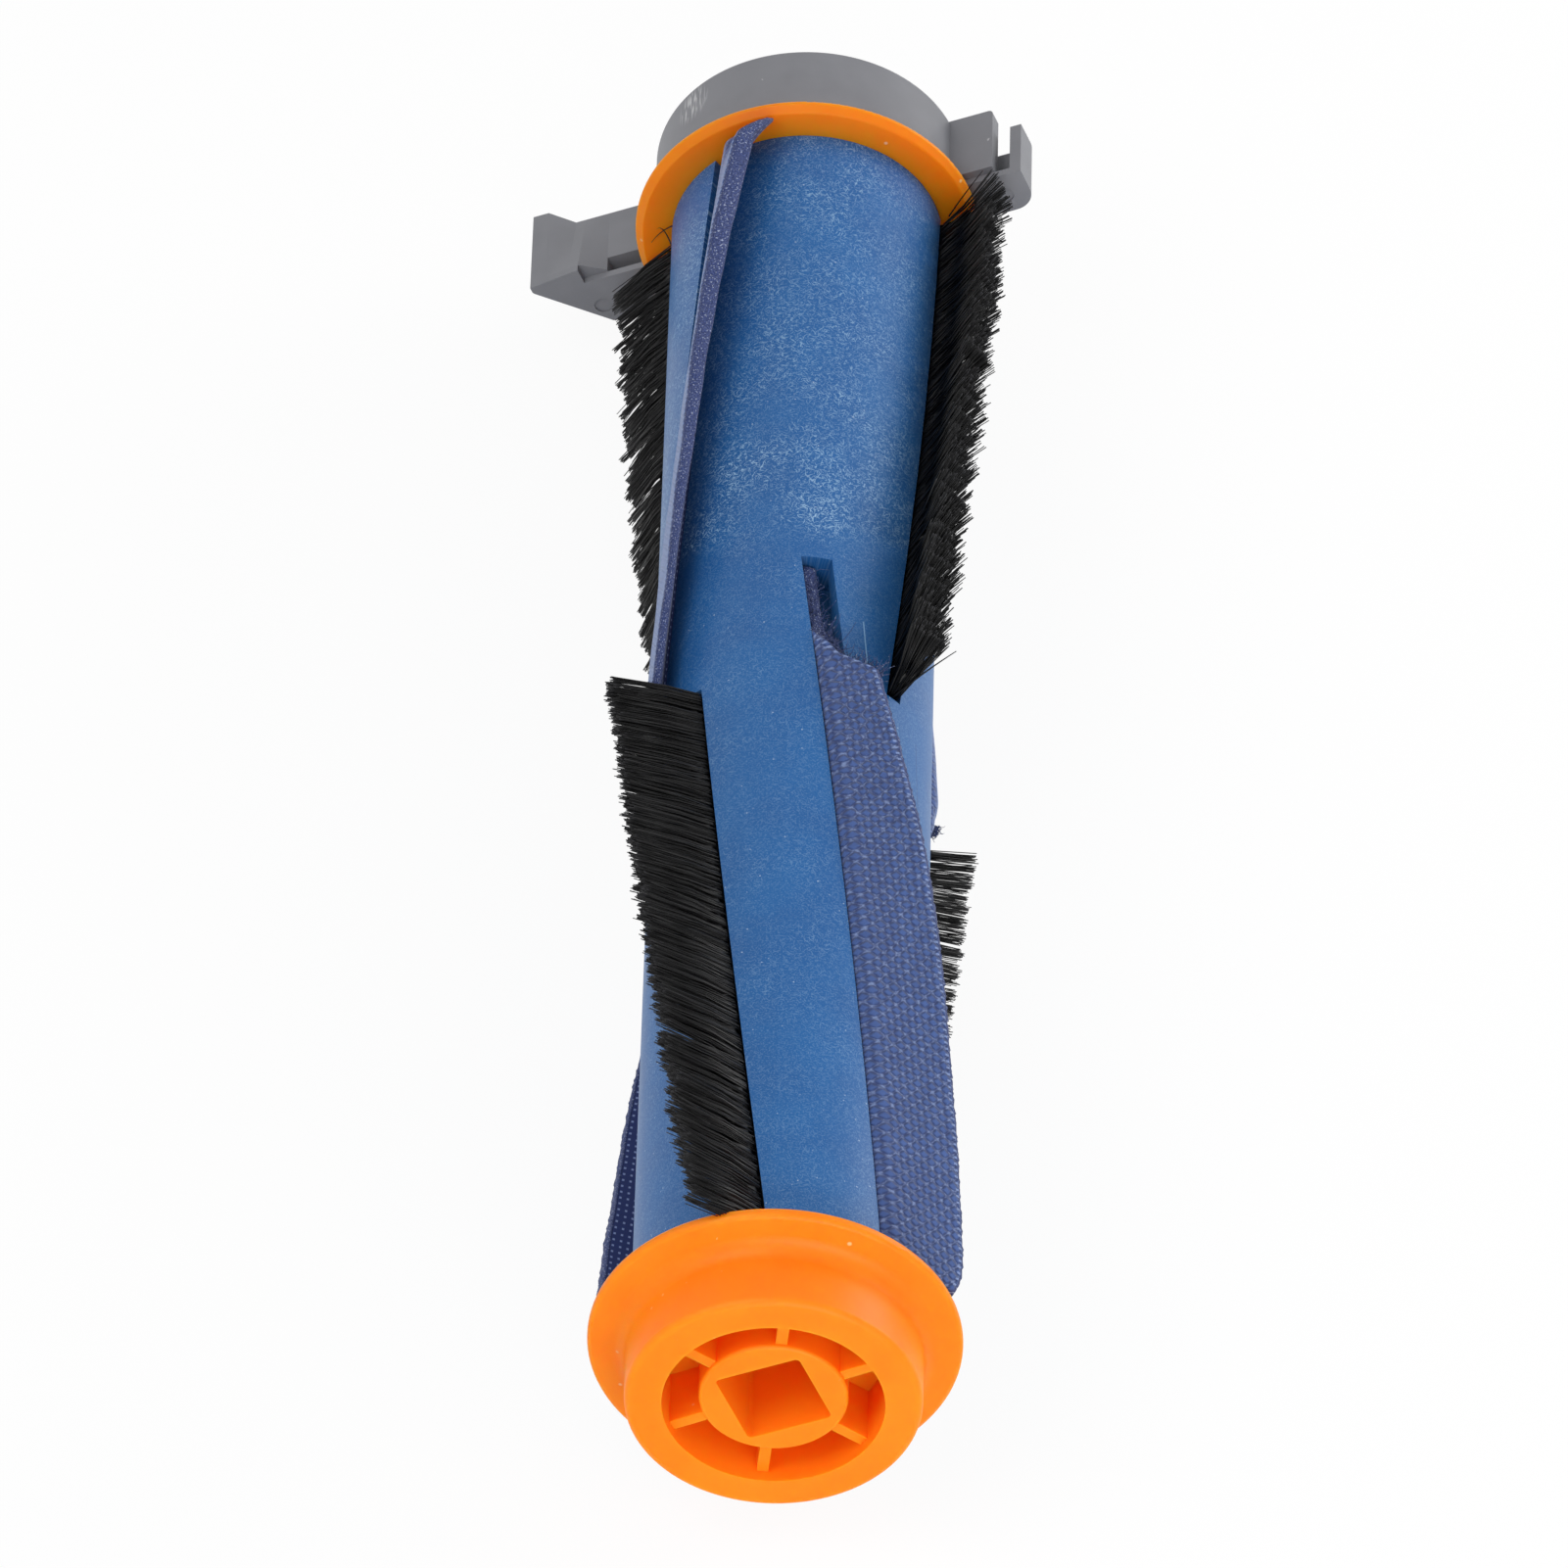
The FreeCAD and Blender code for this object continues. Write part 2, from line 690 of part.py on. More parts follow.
def bearing_housing():
    """Stepped cup with a ribbed boss for the bush and an ear on each side."""
    inner = housing_radius - housing_wall
    rear_inner = rear_boss_radius - housing_wall
    step_wall = housing_step - housing_wall
    back_wall = housing_back - housing_wall
    outside = turned([
        (0.0, housing_front, 0.0),
        (housing_radius, housing_front, 0.0),
        (housing_radius, housing_step, housing_edge_round),
        (rear_boss_radius, housing_step, 0.0),
        (rear_boss_radius, housing_back, housing_edge_round),
        (0.0, housing_back, 0.0),
    ])
    cavity = turned([
        (0.0, housing_front, 0.0),
        (inner, housing_front, 0.0),
        (inner, step_wall, 0.0),
        (rear_inner, step_wall, 0.0),
        (rear_inner, back_wall, 0.0),
        (bush_boss_radius, back_wall, 0.0),
        (bush_boss_radius, bush_start, 0.0),
        (0.0, bush_start, 0.0),
    ])
    cover_seat = housing_back - cover_thickness
    bore = turned([
        (0.0, bush_start, 0.0),
        (bush_radius + bush_press_gap, bush_start, 0.0),
        (bush_radius + bush_press_gap, bush_end, 0.0),
        (clip_room_radius, bush_end, 0.0),
        (clip_room_radius, cover_seat, 0.0),
        (cover_radius + cover_gap, cover_seat, 0.0),
        (cover_radius + cover_gap, housing_back, 0.0),
        (0.0, housing_back, 0.0),
    ])
    ribs = []
    for index in range(housing_rib_count):
        rib = box_between(
            (-housing_rib_thickness / 2, housing_rib_thickness / 2),
            (bush_start + housing_rib_setback, step_wall + housing_wall / 2),
            (bush_boss_radius - housing_wall / 2, inner + housing_wall / 2))
        ribs.append(about_axis(rib, index * 360.0 / housing_rib_count))
    body = outside.fuse([slotted_ear(), raised_ear()]).cut(cavity).cut(bore).fuse(ribs)
    return about_axis(body.removeSplitter(), housing_turn)


def bearing_cover():
    """Dished plug in the back of the housing."""
    start = housing_back - cover_thickness
    return turned([
        (0.0, start, 0.0),
        (cover_radius, start, 0.0),
        (cover_radius, housing_back, 0.0),
        (cover_radius - cover_thickness, housing_back, 0.0),
        (cover_radius - cover_thickness - cover_dish, housing_back - cover_dish, 0.0),
        (0.0, housing_back - cover_dish, 0.0),
    ])


def paired(name, shape):
    """Nodes of a strip and of its twin on the other side of the roller."""
    return {name + "_1": shape, name + "_2": about_axis(shape, OPPOSITE)}


def main():
    """Build every piece, lay the brush down and write one file per piece."""
    nodes = {
        "roller_core": roller_core(),
        "drive_end_cap": drive_end_cap(),
        "bearing_end_cap": bearing_end_cap(),
        "axle_pin": axle_pin(),
        "thrust_washer": thrust_washer(),
        "retaining_clip": retaining_clip(),
        "bearing_bush": bearing_bush(),
        "bearing_housing": bearing_housing(),
        "bearing_cover": bearing_cover(),
    }
    for side, half in halves.items():
        nodes.update(paired("bristle_spine_" + side, bristle_spine(half)))
        nodes.update(paired("bristle_row_" + side, bristle_row(half)))
        nodes.update(paired("sweeper_flap_" + side, sweeper_flap(half)))
    os.makedirs("parts", exist_ok=True)
    for name, shape in nodes.items():
        placed = about_axis(shape, rest_turn)
        print(name, placed.ShapeType, len(placed.Solids), round(placed.Volume, 2), placed.isValid())
        placed.exportStep("parts/" + name + ".step")


main()
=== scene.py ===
"""Looks of a robot vacuum roller brush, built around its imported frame.

Sizes are in millimetres and angles in degrees unless a name says otherwise; meshes are written in metres.
The axis lies along Y, with the drive end towards -Y. An angle about the axis runs from +Z towards +X.
"""

from __future__ import annotations

import json
import logging
import math
from dataclasses import dataclass
from enum import Enum

import bpy
import numpy as np
from mathutils import Matrix, Vector

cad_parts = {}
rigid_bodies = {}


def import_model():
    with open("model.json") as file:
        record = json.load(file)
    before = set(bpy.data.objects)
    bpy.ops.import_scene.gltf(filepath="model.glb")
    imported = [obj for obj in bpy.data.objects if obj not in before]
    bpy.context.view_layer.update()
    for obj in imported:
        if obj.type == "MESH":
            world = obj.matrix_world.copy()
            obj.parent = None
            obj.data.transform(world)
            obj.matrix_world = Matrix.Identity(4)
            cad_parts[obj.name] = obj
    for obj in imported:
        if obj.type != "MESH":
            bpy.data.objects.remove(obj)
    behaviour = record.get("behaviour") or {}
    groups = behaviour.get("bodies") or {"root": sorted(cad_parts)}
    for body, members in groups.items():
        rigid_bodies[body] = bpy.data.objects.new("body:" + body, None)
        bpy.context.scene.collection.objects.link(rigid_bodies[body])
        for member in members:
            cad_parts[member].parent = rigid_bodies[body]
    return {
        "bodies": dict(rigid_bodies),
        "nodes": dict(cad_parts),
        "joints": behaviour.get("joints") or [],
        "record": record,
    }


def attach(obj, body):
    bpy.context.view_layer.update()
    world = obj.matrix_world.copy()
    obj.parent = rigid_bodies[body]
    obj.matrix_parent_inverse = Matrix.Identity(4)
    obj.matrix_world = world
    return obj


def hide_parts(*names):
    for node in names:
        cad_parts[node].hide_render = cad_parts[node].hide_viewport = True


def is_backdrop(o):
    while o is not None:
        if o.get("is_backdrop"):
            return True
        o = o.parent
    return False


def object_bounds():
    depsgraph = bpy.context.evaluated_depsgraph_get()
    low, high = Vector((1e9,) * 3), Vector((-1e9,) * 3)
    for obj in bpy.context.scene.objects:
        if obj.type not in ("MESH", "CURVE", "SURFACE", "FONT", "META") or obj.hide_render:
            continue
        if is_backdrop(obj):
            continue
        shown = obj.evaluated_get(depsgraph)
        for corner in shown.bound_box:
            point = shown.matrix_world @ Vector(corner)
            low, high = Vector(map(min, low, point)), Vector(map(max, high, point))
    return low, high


LOG = logging.getLogger("roller_brush")
MM = 0.001

Array = np.ndarray


# Shape of the roller, as the frame has it


@dataclass(frozen=True)
class Roller:
    """Sizes of the roller that the strips are placed by."""

    rest_turn: float = -5.7
    mid_plane: float = 85.8
    core_start: float = 8.9
    core_end: float = 163.1
    core_radius: float = 13.82
    helix_rate: float = 0.485


ROLLER = Roller()


class Half(Enum):
    """Half of the roller: the way along the axis from the mid plane and the turn of its strips."""

    DRIVE = (-1, 0.0)
    BEARING = (1, 90.0)

    @property
    def way(self) -> int:
        """Direction along the axis, away from the mid plane."""
        return self.value[0]

    @property
    def turn(self) -> float:
        """Turn about the axis that the half's strips have beside the drive half's."""
        return self.value[1]

    @property
    def reach(self) -> float:
        """Length from the mid plane to the half's end cap."""
        end = ROLLER.core_start if self is Half.DRIVE else ROLLER.core_end
        return abs(end - ROLLER.mid_plane)


@dataclass(frozen=True)
class SlotPath:
    """Helical slot of one strip.

    Args:
        half: half of the roller that the strip is on.
        number: 1 for the strip itself, 2 for its twin on the other side of the roller.
        angle: angle of the slot at the mid plane, on the drive half.
    """

    half: Half
    number: int
    angle: float

    def place(self, side: Array, out: Array, distance: Array) -> Array:
        """Points given across the slot, out from the axis and along from the mid plane.

        With the slot's angle growing evenly with the distance, x is out times its sine plus side times its
        cosine, and z is out times its cosine less side times its sine.

        Args:
            side: distance across the slot, along the turn.
            out: distance from the axis, along the slot's radius.
            distance: distance from the mid plane.

        Returns:
            Array of points, one more axis than the arguments.
        """
        opposite = 180.0 * (self.number - 1)
        turn = self.angle + self.half.turn + opposite + ROLLER.rest_turn
        phi = np.radians(turn + ROLLER.helix_rate * distance)
        x = out * np.sin(phi) + side * np.cos(phi)
        z = out * np.cos(phi) - side * np.sin(phi)
        y = ROLLER.mid_plane + self.half.way * distance + 0.0 * x
        return np.stack([x, y, z], axis=-1)


# Meshes


def grid_quads(rows: int, columns: int, wrap: bool = False, flip: bool = False) -> Array:
    """Quads of a grid of points laid out row by row.

    Args:
        rows: number of rows of points.
        columns: number of points in a row.
        wrap: whether each row closes on itself.
        flip: whether the faces are turned over.

    Returns:
        Array of four point numbers for each face.
    """
    across = columns if wrap else columns - 1
    row, column = np.meshgrid(np.arange(rows - 1), np.arange(across), indexing="ij")
    following = (column + 1) % columns
    corners = [
        row * columns + column,
        row * columns + following,
        (row + 1) * columns + following,
        (row + 1) * columns + column,
    ]
    quads = np.stack(corners, axis=-1).reshape(-1, 4)
    return quads[:, ::-1] if flip else quads


@dataclass
class Facets:
    """Points, faces and per-point values of a mesh that is being made up.

    Args:
        points: array of points in millimetres.
        quads: array of four point numbers for each quad.
        tris: array of three point numbers for each triangle.
        values: arrays of one number for each point, by attribute name.
        plan: array of two flat coordinates for each point, in millimetres, for a pattern on the surface.
    """

    points: Array
    quads: Array
    tris: Array
    values: dict[str, Array]
    plan: Array

    @staticmethod
    def joined(parts: list[Facets]) -> Facets:
        """One set of facets from several, with the point numbers carried on."""
        counts = np.cumsum([0] + [len(part.points) for part in parts])
        names = parts[0].values
        return Facets(
            points=np.concatenate([part.points for part in parts]),
            quads=np.concatenate([part.quads + start for part, start in zip(parts, counts)]),
            tris=np.concatenate([part.tris + start for part, start in zip(parts, counts)]),
            values={name: np.concatenate([part.values[name] for part in parts]) for name in names},
            plan=np.concatenate([part.plan for part in parts]),
        )

    def to_object(self, name: str) -> bpy.types.Object:
        """Mesh object at the origin, in metres, with smooth faces.

        Args:
            name: name of the object and its mesh.

        Returns:
            The object, linked to the scene.
        """
        mesh = bpy.data.meshes.new(name)
        corners = np.concatenate([self.quads.ravel(), self.tris.ravel()]).astype(np.int32)
        quad_starts = 4 * np.arange(len(self.quads))
        tri_starts = 4 * len(self.quads) + 3 * np.arange(len(self.tris))
        starts = np.concatenate([quad_starts, tri_starts]).astype(np.int32)
        mesh.vertices.add(len(self.points))
        mesh.vertices.foreach_set("co", (self.points * MM).astype(np.float32).ravel())
        mesh.loops.add(len(corners))
        mesh.loops.foreach_set("vertex_index", corners)
        mesh.polygons.add(len(starts))
        mesh.polygons.foreach_set("loop_start", starts)
        mesh.polygons.foreach_set("use_smooth", np.ones(len(starts), bool))
        mesh.update(calc_edges=True)
        for key, value in self.values.items():
            layer = mesh.attributes.new(key, "FLOAT", "POINT")
            layer.data.foreach_set("value", value.astype(np.float32))
        plan = mesh.uv_layers.new(name="plan")
        plan.data.foreach_set("uv", self.plan[corners].astype(np.float32).ravel())
        piece = bpy.data.objects.new(name, mesh)
        bpy.context.scene.collection.objects.link(piece)
        return piece


def hairs(lines: Array, radius: Array, tone: Array) -> Facets:
    """Three-sided hairs along many centre lines at once.

    At each point of a line, the corners stand a third of a turn apart on a circle across the line's overall
    direction.

    Args:
        lines: array of hairs, points along each, and coordinates.
        radius: array of hairs and points along each.
        tone: one number for each hair, kept as the attribute tone.

    Returns:
        The facets, with a flat cut at each far end.
    """
    count, rings = lines.shape[:2]
    course = lines[:, -1] - lines[:, 0]
    course /= np.linalg.norm(course, axis=1, keepdims=True)
    aid = np.where(np.abs(course[:, 1:2]) > 0.8, [[1.0, 0.0, 0.0]], [[0.0, 1.0, 0.0]])
    first = np.cross(course, aid)
    first /= np.linalg.norm(first, axis=1, keepdims=True)
    second = np.cross(course, first)
    turn = 2 * np.pi * (np.arange(3)[None] / 3 + (7.3 * tone)[:, None])
    ring = np.cos(turn)[..., None] * first[:, None] + np.sin(turn)[..., None] * second[:, None]
    points = lines[:, :, None] + radius[:, :, None, None] * ring[:, None]
    one = grid_quads(rings, 3, wrap=True)
    start = (3 * rings * np.arange(count))[:, None, None]
    tip = 3 * (rings - 1) + np.arange(3)
    along = np.broadcast_to(np.arange(rings)[None, :, None] / (rings - 1), (count, rings, 3))
    return Facets(
        points=points.reshape(-1, 3),
        quads=(start + one[None]).reshape(-1, 4),
        tris=(start[:, 0] + tip[None]).reshape(-1, 3),
        values={"tone": np.repeat(tone, 3 * rings), "along": along.ravel().copy()},
        plan=np.zeros((3 * rings * count, 2)),
    )


# Finishes


Colour = tuple[float, float, float]
Socket = bpy.types.NodeSocket


def linear(colour: Colour) -> tuple[float, float, float, float]:
    """Shader colour of a screen colour given in steps of 255.

    Args:
        colour: red, green and blue as a screen shows them.

    Returns:
        The same colour in linear light, with full alpha.
    """
    parts = []
    for step in colour:
        value = step / 255.0
        parts.append(value / 12.92 if value <= 0.04045 else ((value + 0.055) / 1.055) ** 2.4)
    return (*parts, 1.0)


class Knot:
    """Small helper that adds nodes to one node tree and links them.

    Args:
        tree: node tree of a material, a world or a node group.
    """

    def __init__(self, tree: bpy.types.NodeTree) -> None:
        """Keep the tree that nodes are added to."""
        self.tree = tree

    def feed(self, node: bpy.types.Node, inputs: dict) -> None:
        """Give a node's inputs, by name or number, a value each or an output socket to follow."""
        for key, value in inputs.items():
            if isinstance(value, Socket):
                self.tree.links.new(value, node.inputs[key])
            else:
                node.inputs[key].default_value = value

    def add(self, kind: str, inputs: dict | None = None, **settings: object) -> bpy.types.Node:
        """New node with its settings and inputs.

        Args:
            kind: type of the node.
            inputs: values or output sockets by input name or number.
            settings: values of the node's own properties.

        Returns:
            The node.
        """
        node = self.tree.nodes.new(kind)
        for key, value in settings.items():
            setattr(node, key, value)
        self.feed(node, inputs or {})
        return node

    def math(self, operation: str, *values: object, clamp: bool = False) -> Socket:
        """Output of one sum or function of numbers and sockets."""
        node = self.add("ShaderNodeMath", dict(enumerate(values)), operation=operation, use_clamp=clamp)
        return node.outputs[0]

    def vector(self, operation: str, *values: object) -> Socket:
        """Output of one sum or function of vectors."""
        return self.add("ShaderNodeVectorMath", dict(enumerate(values)), operation=operation).outputs[0]

    def parts(self, vector: Socket) -> bpy.types.NodeOutputs:
        """X, Y and Z of a vector, by name."""
        return self.add("ShaderNodeSeparateXYZ", {0: vector}).outputs

    def joined(self, x: Socket, y: Socket) -> Socket:
        """Vector of an X and a Y, with no Z."""
        return self.add("ShaderNodeCombineXYZ", {"X": x, "Y": y}).outputs[0]

    def turned(self, place: Socket, angle: float) -> Socket:
        """Place turned about Z by an angle in radians."""
        inputs = {"Vector": place, "Angle": angle}
        return self.add("ShaderNodeVectorRotate", inputs, rotation_type="Z_AXIS").outputs[0]

    def ramp(self, value: Socket, low: float, high: float) -> Socket:
        """Smooth step of a value from nought at low to one at high."""
        limits = {"Value": value, "From Min": low, "From Max": high}
        return self.add("ShaderNodeMapRange", limits, interpolation_type="SMOOTHSTEP").outputs["Result"]

    def fall(self, value: Socket, low: float, high: float) -> Socket:
        """Smooth step of a value from one at low to nought at high."""
        return self.math("SUBTRACT", 1.0, self.ramp(value, low, high))

    def noise(self, place: Socket, scale: object, detail: float = 2.0) -> Socket:
        """Value of a noise at a place."""
        inputs = {"Vector": place, "Scale": scale, "Detail": detail}
        return self.add("ShaderNodeTexNoise", inputs).outputs["Fac"]

    def wander(self, place: Socket, scale: float) -> Socket:
        """Vector that drifts about nought from place to place."""
        noise = self.add("ShaderNodeTexNoise", {"Vector": place, "Scale": scale, "Detail": 1.0})
        return self.vector("SUBTRACT", noise.outputs["Color"], (0.5, 0.5, 0.5))

    def attribute(self, name: str) -> Socket:
        """Value of one of the mesh's own attributes."""
        return self.add("ShaderNodeAttribute", attribute_name=name).outputs["Fac"]

    def object_place(self) -> Socket:
        """Place on the object, in metres."""
        return self.add("ShaderNodeTexCoord").outputs["Object"]

    def mix(self, share: object, first: object, second: object) -> Socket:
        """Colour between two colours, which are the Mix node's sockets 6 and 7."""
        return self.add("ShaderNodeMix", {0: share, 6: first, 7: second}, data_type="RGBA").outputs[2]


class Group(Enum):
    """Node groups of the finishes."""

    AXIS_PLAN = "axis_plan"
    FLECKS = "flecks"
    GRAIN = "grain"
    WEAVE = "weave"


class Effects:
    """The finishes' node groups, each built once."""

    def __init__(self) -> None:
        """Build every group."""
        self.made = {
            Group.AXIS_PLAN: self.axis_plan(),
            Group.FLECKS: self.flecks(),
            Group.GRAIN: self.grain(),
            Group.WEAVE: self.weave(),
        }

    @staticmethod
    def blank(
        name: Group, inputs: dict[str, str], outputs: dict[str, str],
    ) -> tuple[Knot, dict[str, Socket], bpy.types.Node]:
        """Empty group with named sockets.

        Args:
            name: which group it is.
            inputs: kind of each input socket by name.
            outputs: kind of each output socket by name.

        Returns:
            The helper on its tree, the input sockets by name and the output node.
        """
        tree = bpy.data.node_groups.new(name.value, "ShaderNodeTree")
        for way, sockets in (("INPUT", inputs), ("OUTPUT", outputs)):
            for key, kind in sockets.items():
                tree.interface.new_socket(key, in_out=way, socket_type=kind)
        knot = Knot(tree)
        entry = knot.add("NodeGroupInput")
        leave = knot.add("NodeGroupOutput")
        return knot, {key: entry.outputs[key] for key in inputs}, leave

    def axis_plan(self) -> bpy.types.NodeTree:
        """Flat plan, in millimetres, of a surface rolled round the Y axis: arc length across and Y along."""
        knot, entry, leave = self.blank(
            Group.AXIS_PLAN, {"Place": "NodeSocketVector", "Radius": "NodeSocketFloat"},
            {"Plan": "NodeSocketVector"})
        parts = knot.parts(entry["Place"])
        angle = knot.math("ARCTAN2", parts["X"], parts["Z"])
        arc = knot.math("MULTIPLY", angle, entry["Radius"])
        along = knot.math("MULTIPLY", parts["Y"], 1.0 / MM)
        knot.feed(leave, {"Plan": knot.joined(arc, along)})
        return knot.tree

    def flecks(self) -> bpy.types.NodeTree:
        """Fine light fibres: a grit of short ends, wandering curls, straight strokes and a few specks."""
        knot, entry, leave = self.blank(
            Group.FLECKS, {"Plan": "NodeSocketVector", "Amount": "NodeSocketFloat"},
            {"Strokes": "NodeSocketFloat", "Specks": "NodeSocketFloat"})
        plan = entry["Plan"]
        curls = knot.math("ABSOLUTE", knot.math("SUBTRACT", knot.noise(plan, 1.7, 1.0), 0.5))
        kept = knot.ramp(knot.noise(plan, 2.6, 0.0), 0.5, 0.6)
        strokes = knot.math("MULTIPLY", knot.fall(curls, 0.006, 0.03), kept)
        curled = knot.vector("MULTIPLY_ADD", knot.wander(plan, 0.9), (0.8, 0.8, 0.0), plan)
        for index, angle in enumerate((0.25, 1.0, 1.9, 2.6)):
            apart = (13.7 * index, 5.1 * index, 0.0)
            drawn = knot.vector("MULTIPLY_ADD", knot.turned(curled, angle), (1.05, 8.8, 1.0), apart)
            strokes = knot.math("MAXIMUM", strokes, knot.ramp(knot.noise(drawn, 1.0, 0.0), 0.69, 0.76))
        patches = knot.math("MULTIPLY_ADD", knot.noise(plan, 0.16, 4.0), 2.8, -0.4)
        share = knot.math("MULTIPLY", patches, entry["Amount"], clamp=True)
        grit = knot.ramp(knot.noise(plan, 5.2, 1.0), 0.5, 0.74)
        even = knot.math("MULTIPLY", grit, knot.math("MULTIPLY_ADD", share, 0.12, 0.18))
        shown = knot.math("MAXIMUM", knot.math("MULTIPLY", strokes, share), even)
        cells = knot.add("ShaderNodeTexVoronoi", {"Vector": plan, "Scale": 0.95, "Randomness": 1.0})
        dot = knot.fall(cells.outputs["Distance"], 0.04, 0.1)
        chosen = knot.ramp(knot.noise(plan, 0.9, 0.0), 0.45, 0.6)
        knot.feed(leave, {"Strokes": shown, "Specks": knot.math("MULTIPLY", dot, chosen)})
        return knot.tree

    def grain(self) -> bpy.types.NodeTree:
        """Fine grain of a moulded surface: a height, and broad cloudy change for colour and gloss."""
        knot, entry, leave = self.blank(
            Group.GRAIN, {"Place": "NodeSocketVector", "Pitch": "NodeSocketFloat"},
            {"Height": "NodeSocketFloat", "Cloud": "NodeSocketFloat"})
        place = entry["Place"]
        scale = knot.math("DIVIDE", 1.0 / MM, entry["Pitch"])
        knot.feed(leave, {"Height": knot.noise(place, scale, 3.0), "Cloud": knot.noise(place, 130.0, 4.0)})
        return knot.tree

    def weave(self) -> bpy.types.NodeTree:
        """Weave laid corner-wise: uneven pillows, low seams that set the painted seam shade, and fuzzy
        painted highlights where the seams cross.
        """
        knot, entry, leave = self.blank(
            Group.WEAVE, {"Plan": "NodeSocketVector", "Pitch": "NodeSocketFloat"},
            {"Height": "NodeSocketFloat", "Crowns": "NodeSocketFloat"})
        plan = entry["Plan"]
        upset = knot.math("MULTIPLY_ADD", knot.ramp(knot.parts(plan)["X"], 5.0, 45.0), -0.45, 0.65)
        drift = knot.vector("MULTIPLY", knot.wander(plan, 1.2), knot.joined(upset, upset))
        turned = knot.turned(knot.vector("ADD", plan, drift), math.pi / 4)
        cell = {"Vector": turned, "Scale": knot.math("DIVIDE", 1.0, entry["Pitch"]), "Randomness": 0.1}
        seams = knot.add("ShaderNodeTexVoronoi", cell, voronoi_dimensions="2D", feature="DISTANCE_TO_EDGE")
        middles = knot.add("ShaderNodeTexVoronoi", cell, voronoi_dimensions="2D", feature="F1")
        # Fuzzy crossings far from the cell middles, which the material paints as highlights.
        frizz = knot.ramp(knot.noise(plan, 3.0, 2.0), 0.38, 0.66)
        corners = knot.ramp(middles.outputs["Distance"], 0.4, 0.6)
        knot.feed(leave, {
            "Height": knot.ramp(seams.outputs["Distance"], 0.0, 0.32),
            "Crowns": knot.math("MULTIPLY", corners, knot.math("MULTIPLY_ADD", frizz, 0.7, 0.3)),
        })
        return knot.tree

    def place(self, knot: Knot, group: Group, inputs: dict) -> bpy.types.NodeOutputs:
        """Outputs of a group's node in a material's tree.

        Args:
            knot: helper on the material's tree.
            group: which group.
            inputs: values or sockets by input name.

        Returns:
            The output sockets, by name.
        """
        return knot.add("ShaderNodeGroup", inputs, node_tree=self.made[group]).outputs


@dataclass(frozen=True)
class Finish:
    """What every finish has: a name, a gloss and the way to start its material."""

    name: str
    roughness: float

    def start(self) -> tuple[bpy.types.Material, Knot, bpy.types.Node]:
        """New material with its shader.

        Returns:
            The material, the helper on its tree and its Principled shader.
        """
        material = bpy.data.materials.new(self.name)
        material.use_nodes = True
        knot = Knot(material.node_tree)
        shader = material.node_tree.nodes["Principled BSDF"]
        knot.feed(shader, {"Roughness": self.roughness})
        return material, knot, shader

    def gloss(self, knot: Knot, value: Socket, spread: float) -> Socket:
        """Roughness that a value moves evenly about the finish's own, by half the spread each way."""
        return knot.math("MULTIPLY_ADD", value, spread, self.roughness - spread / 2)

    @staticmethod
    def relief(knot: Knot, height: Socket, depth: float) -> Socket:
        """Normal of a relief of a given depth in millimetres."""
        inputs = {"Height": height, "Strength": 1.0, "Distance": depth * MM}
        return knot.add("ShaderNodeBump", inputs).outputs["Normal"]


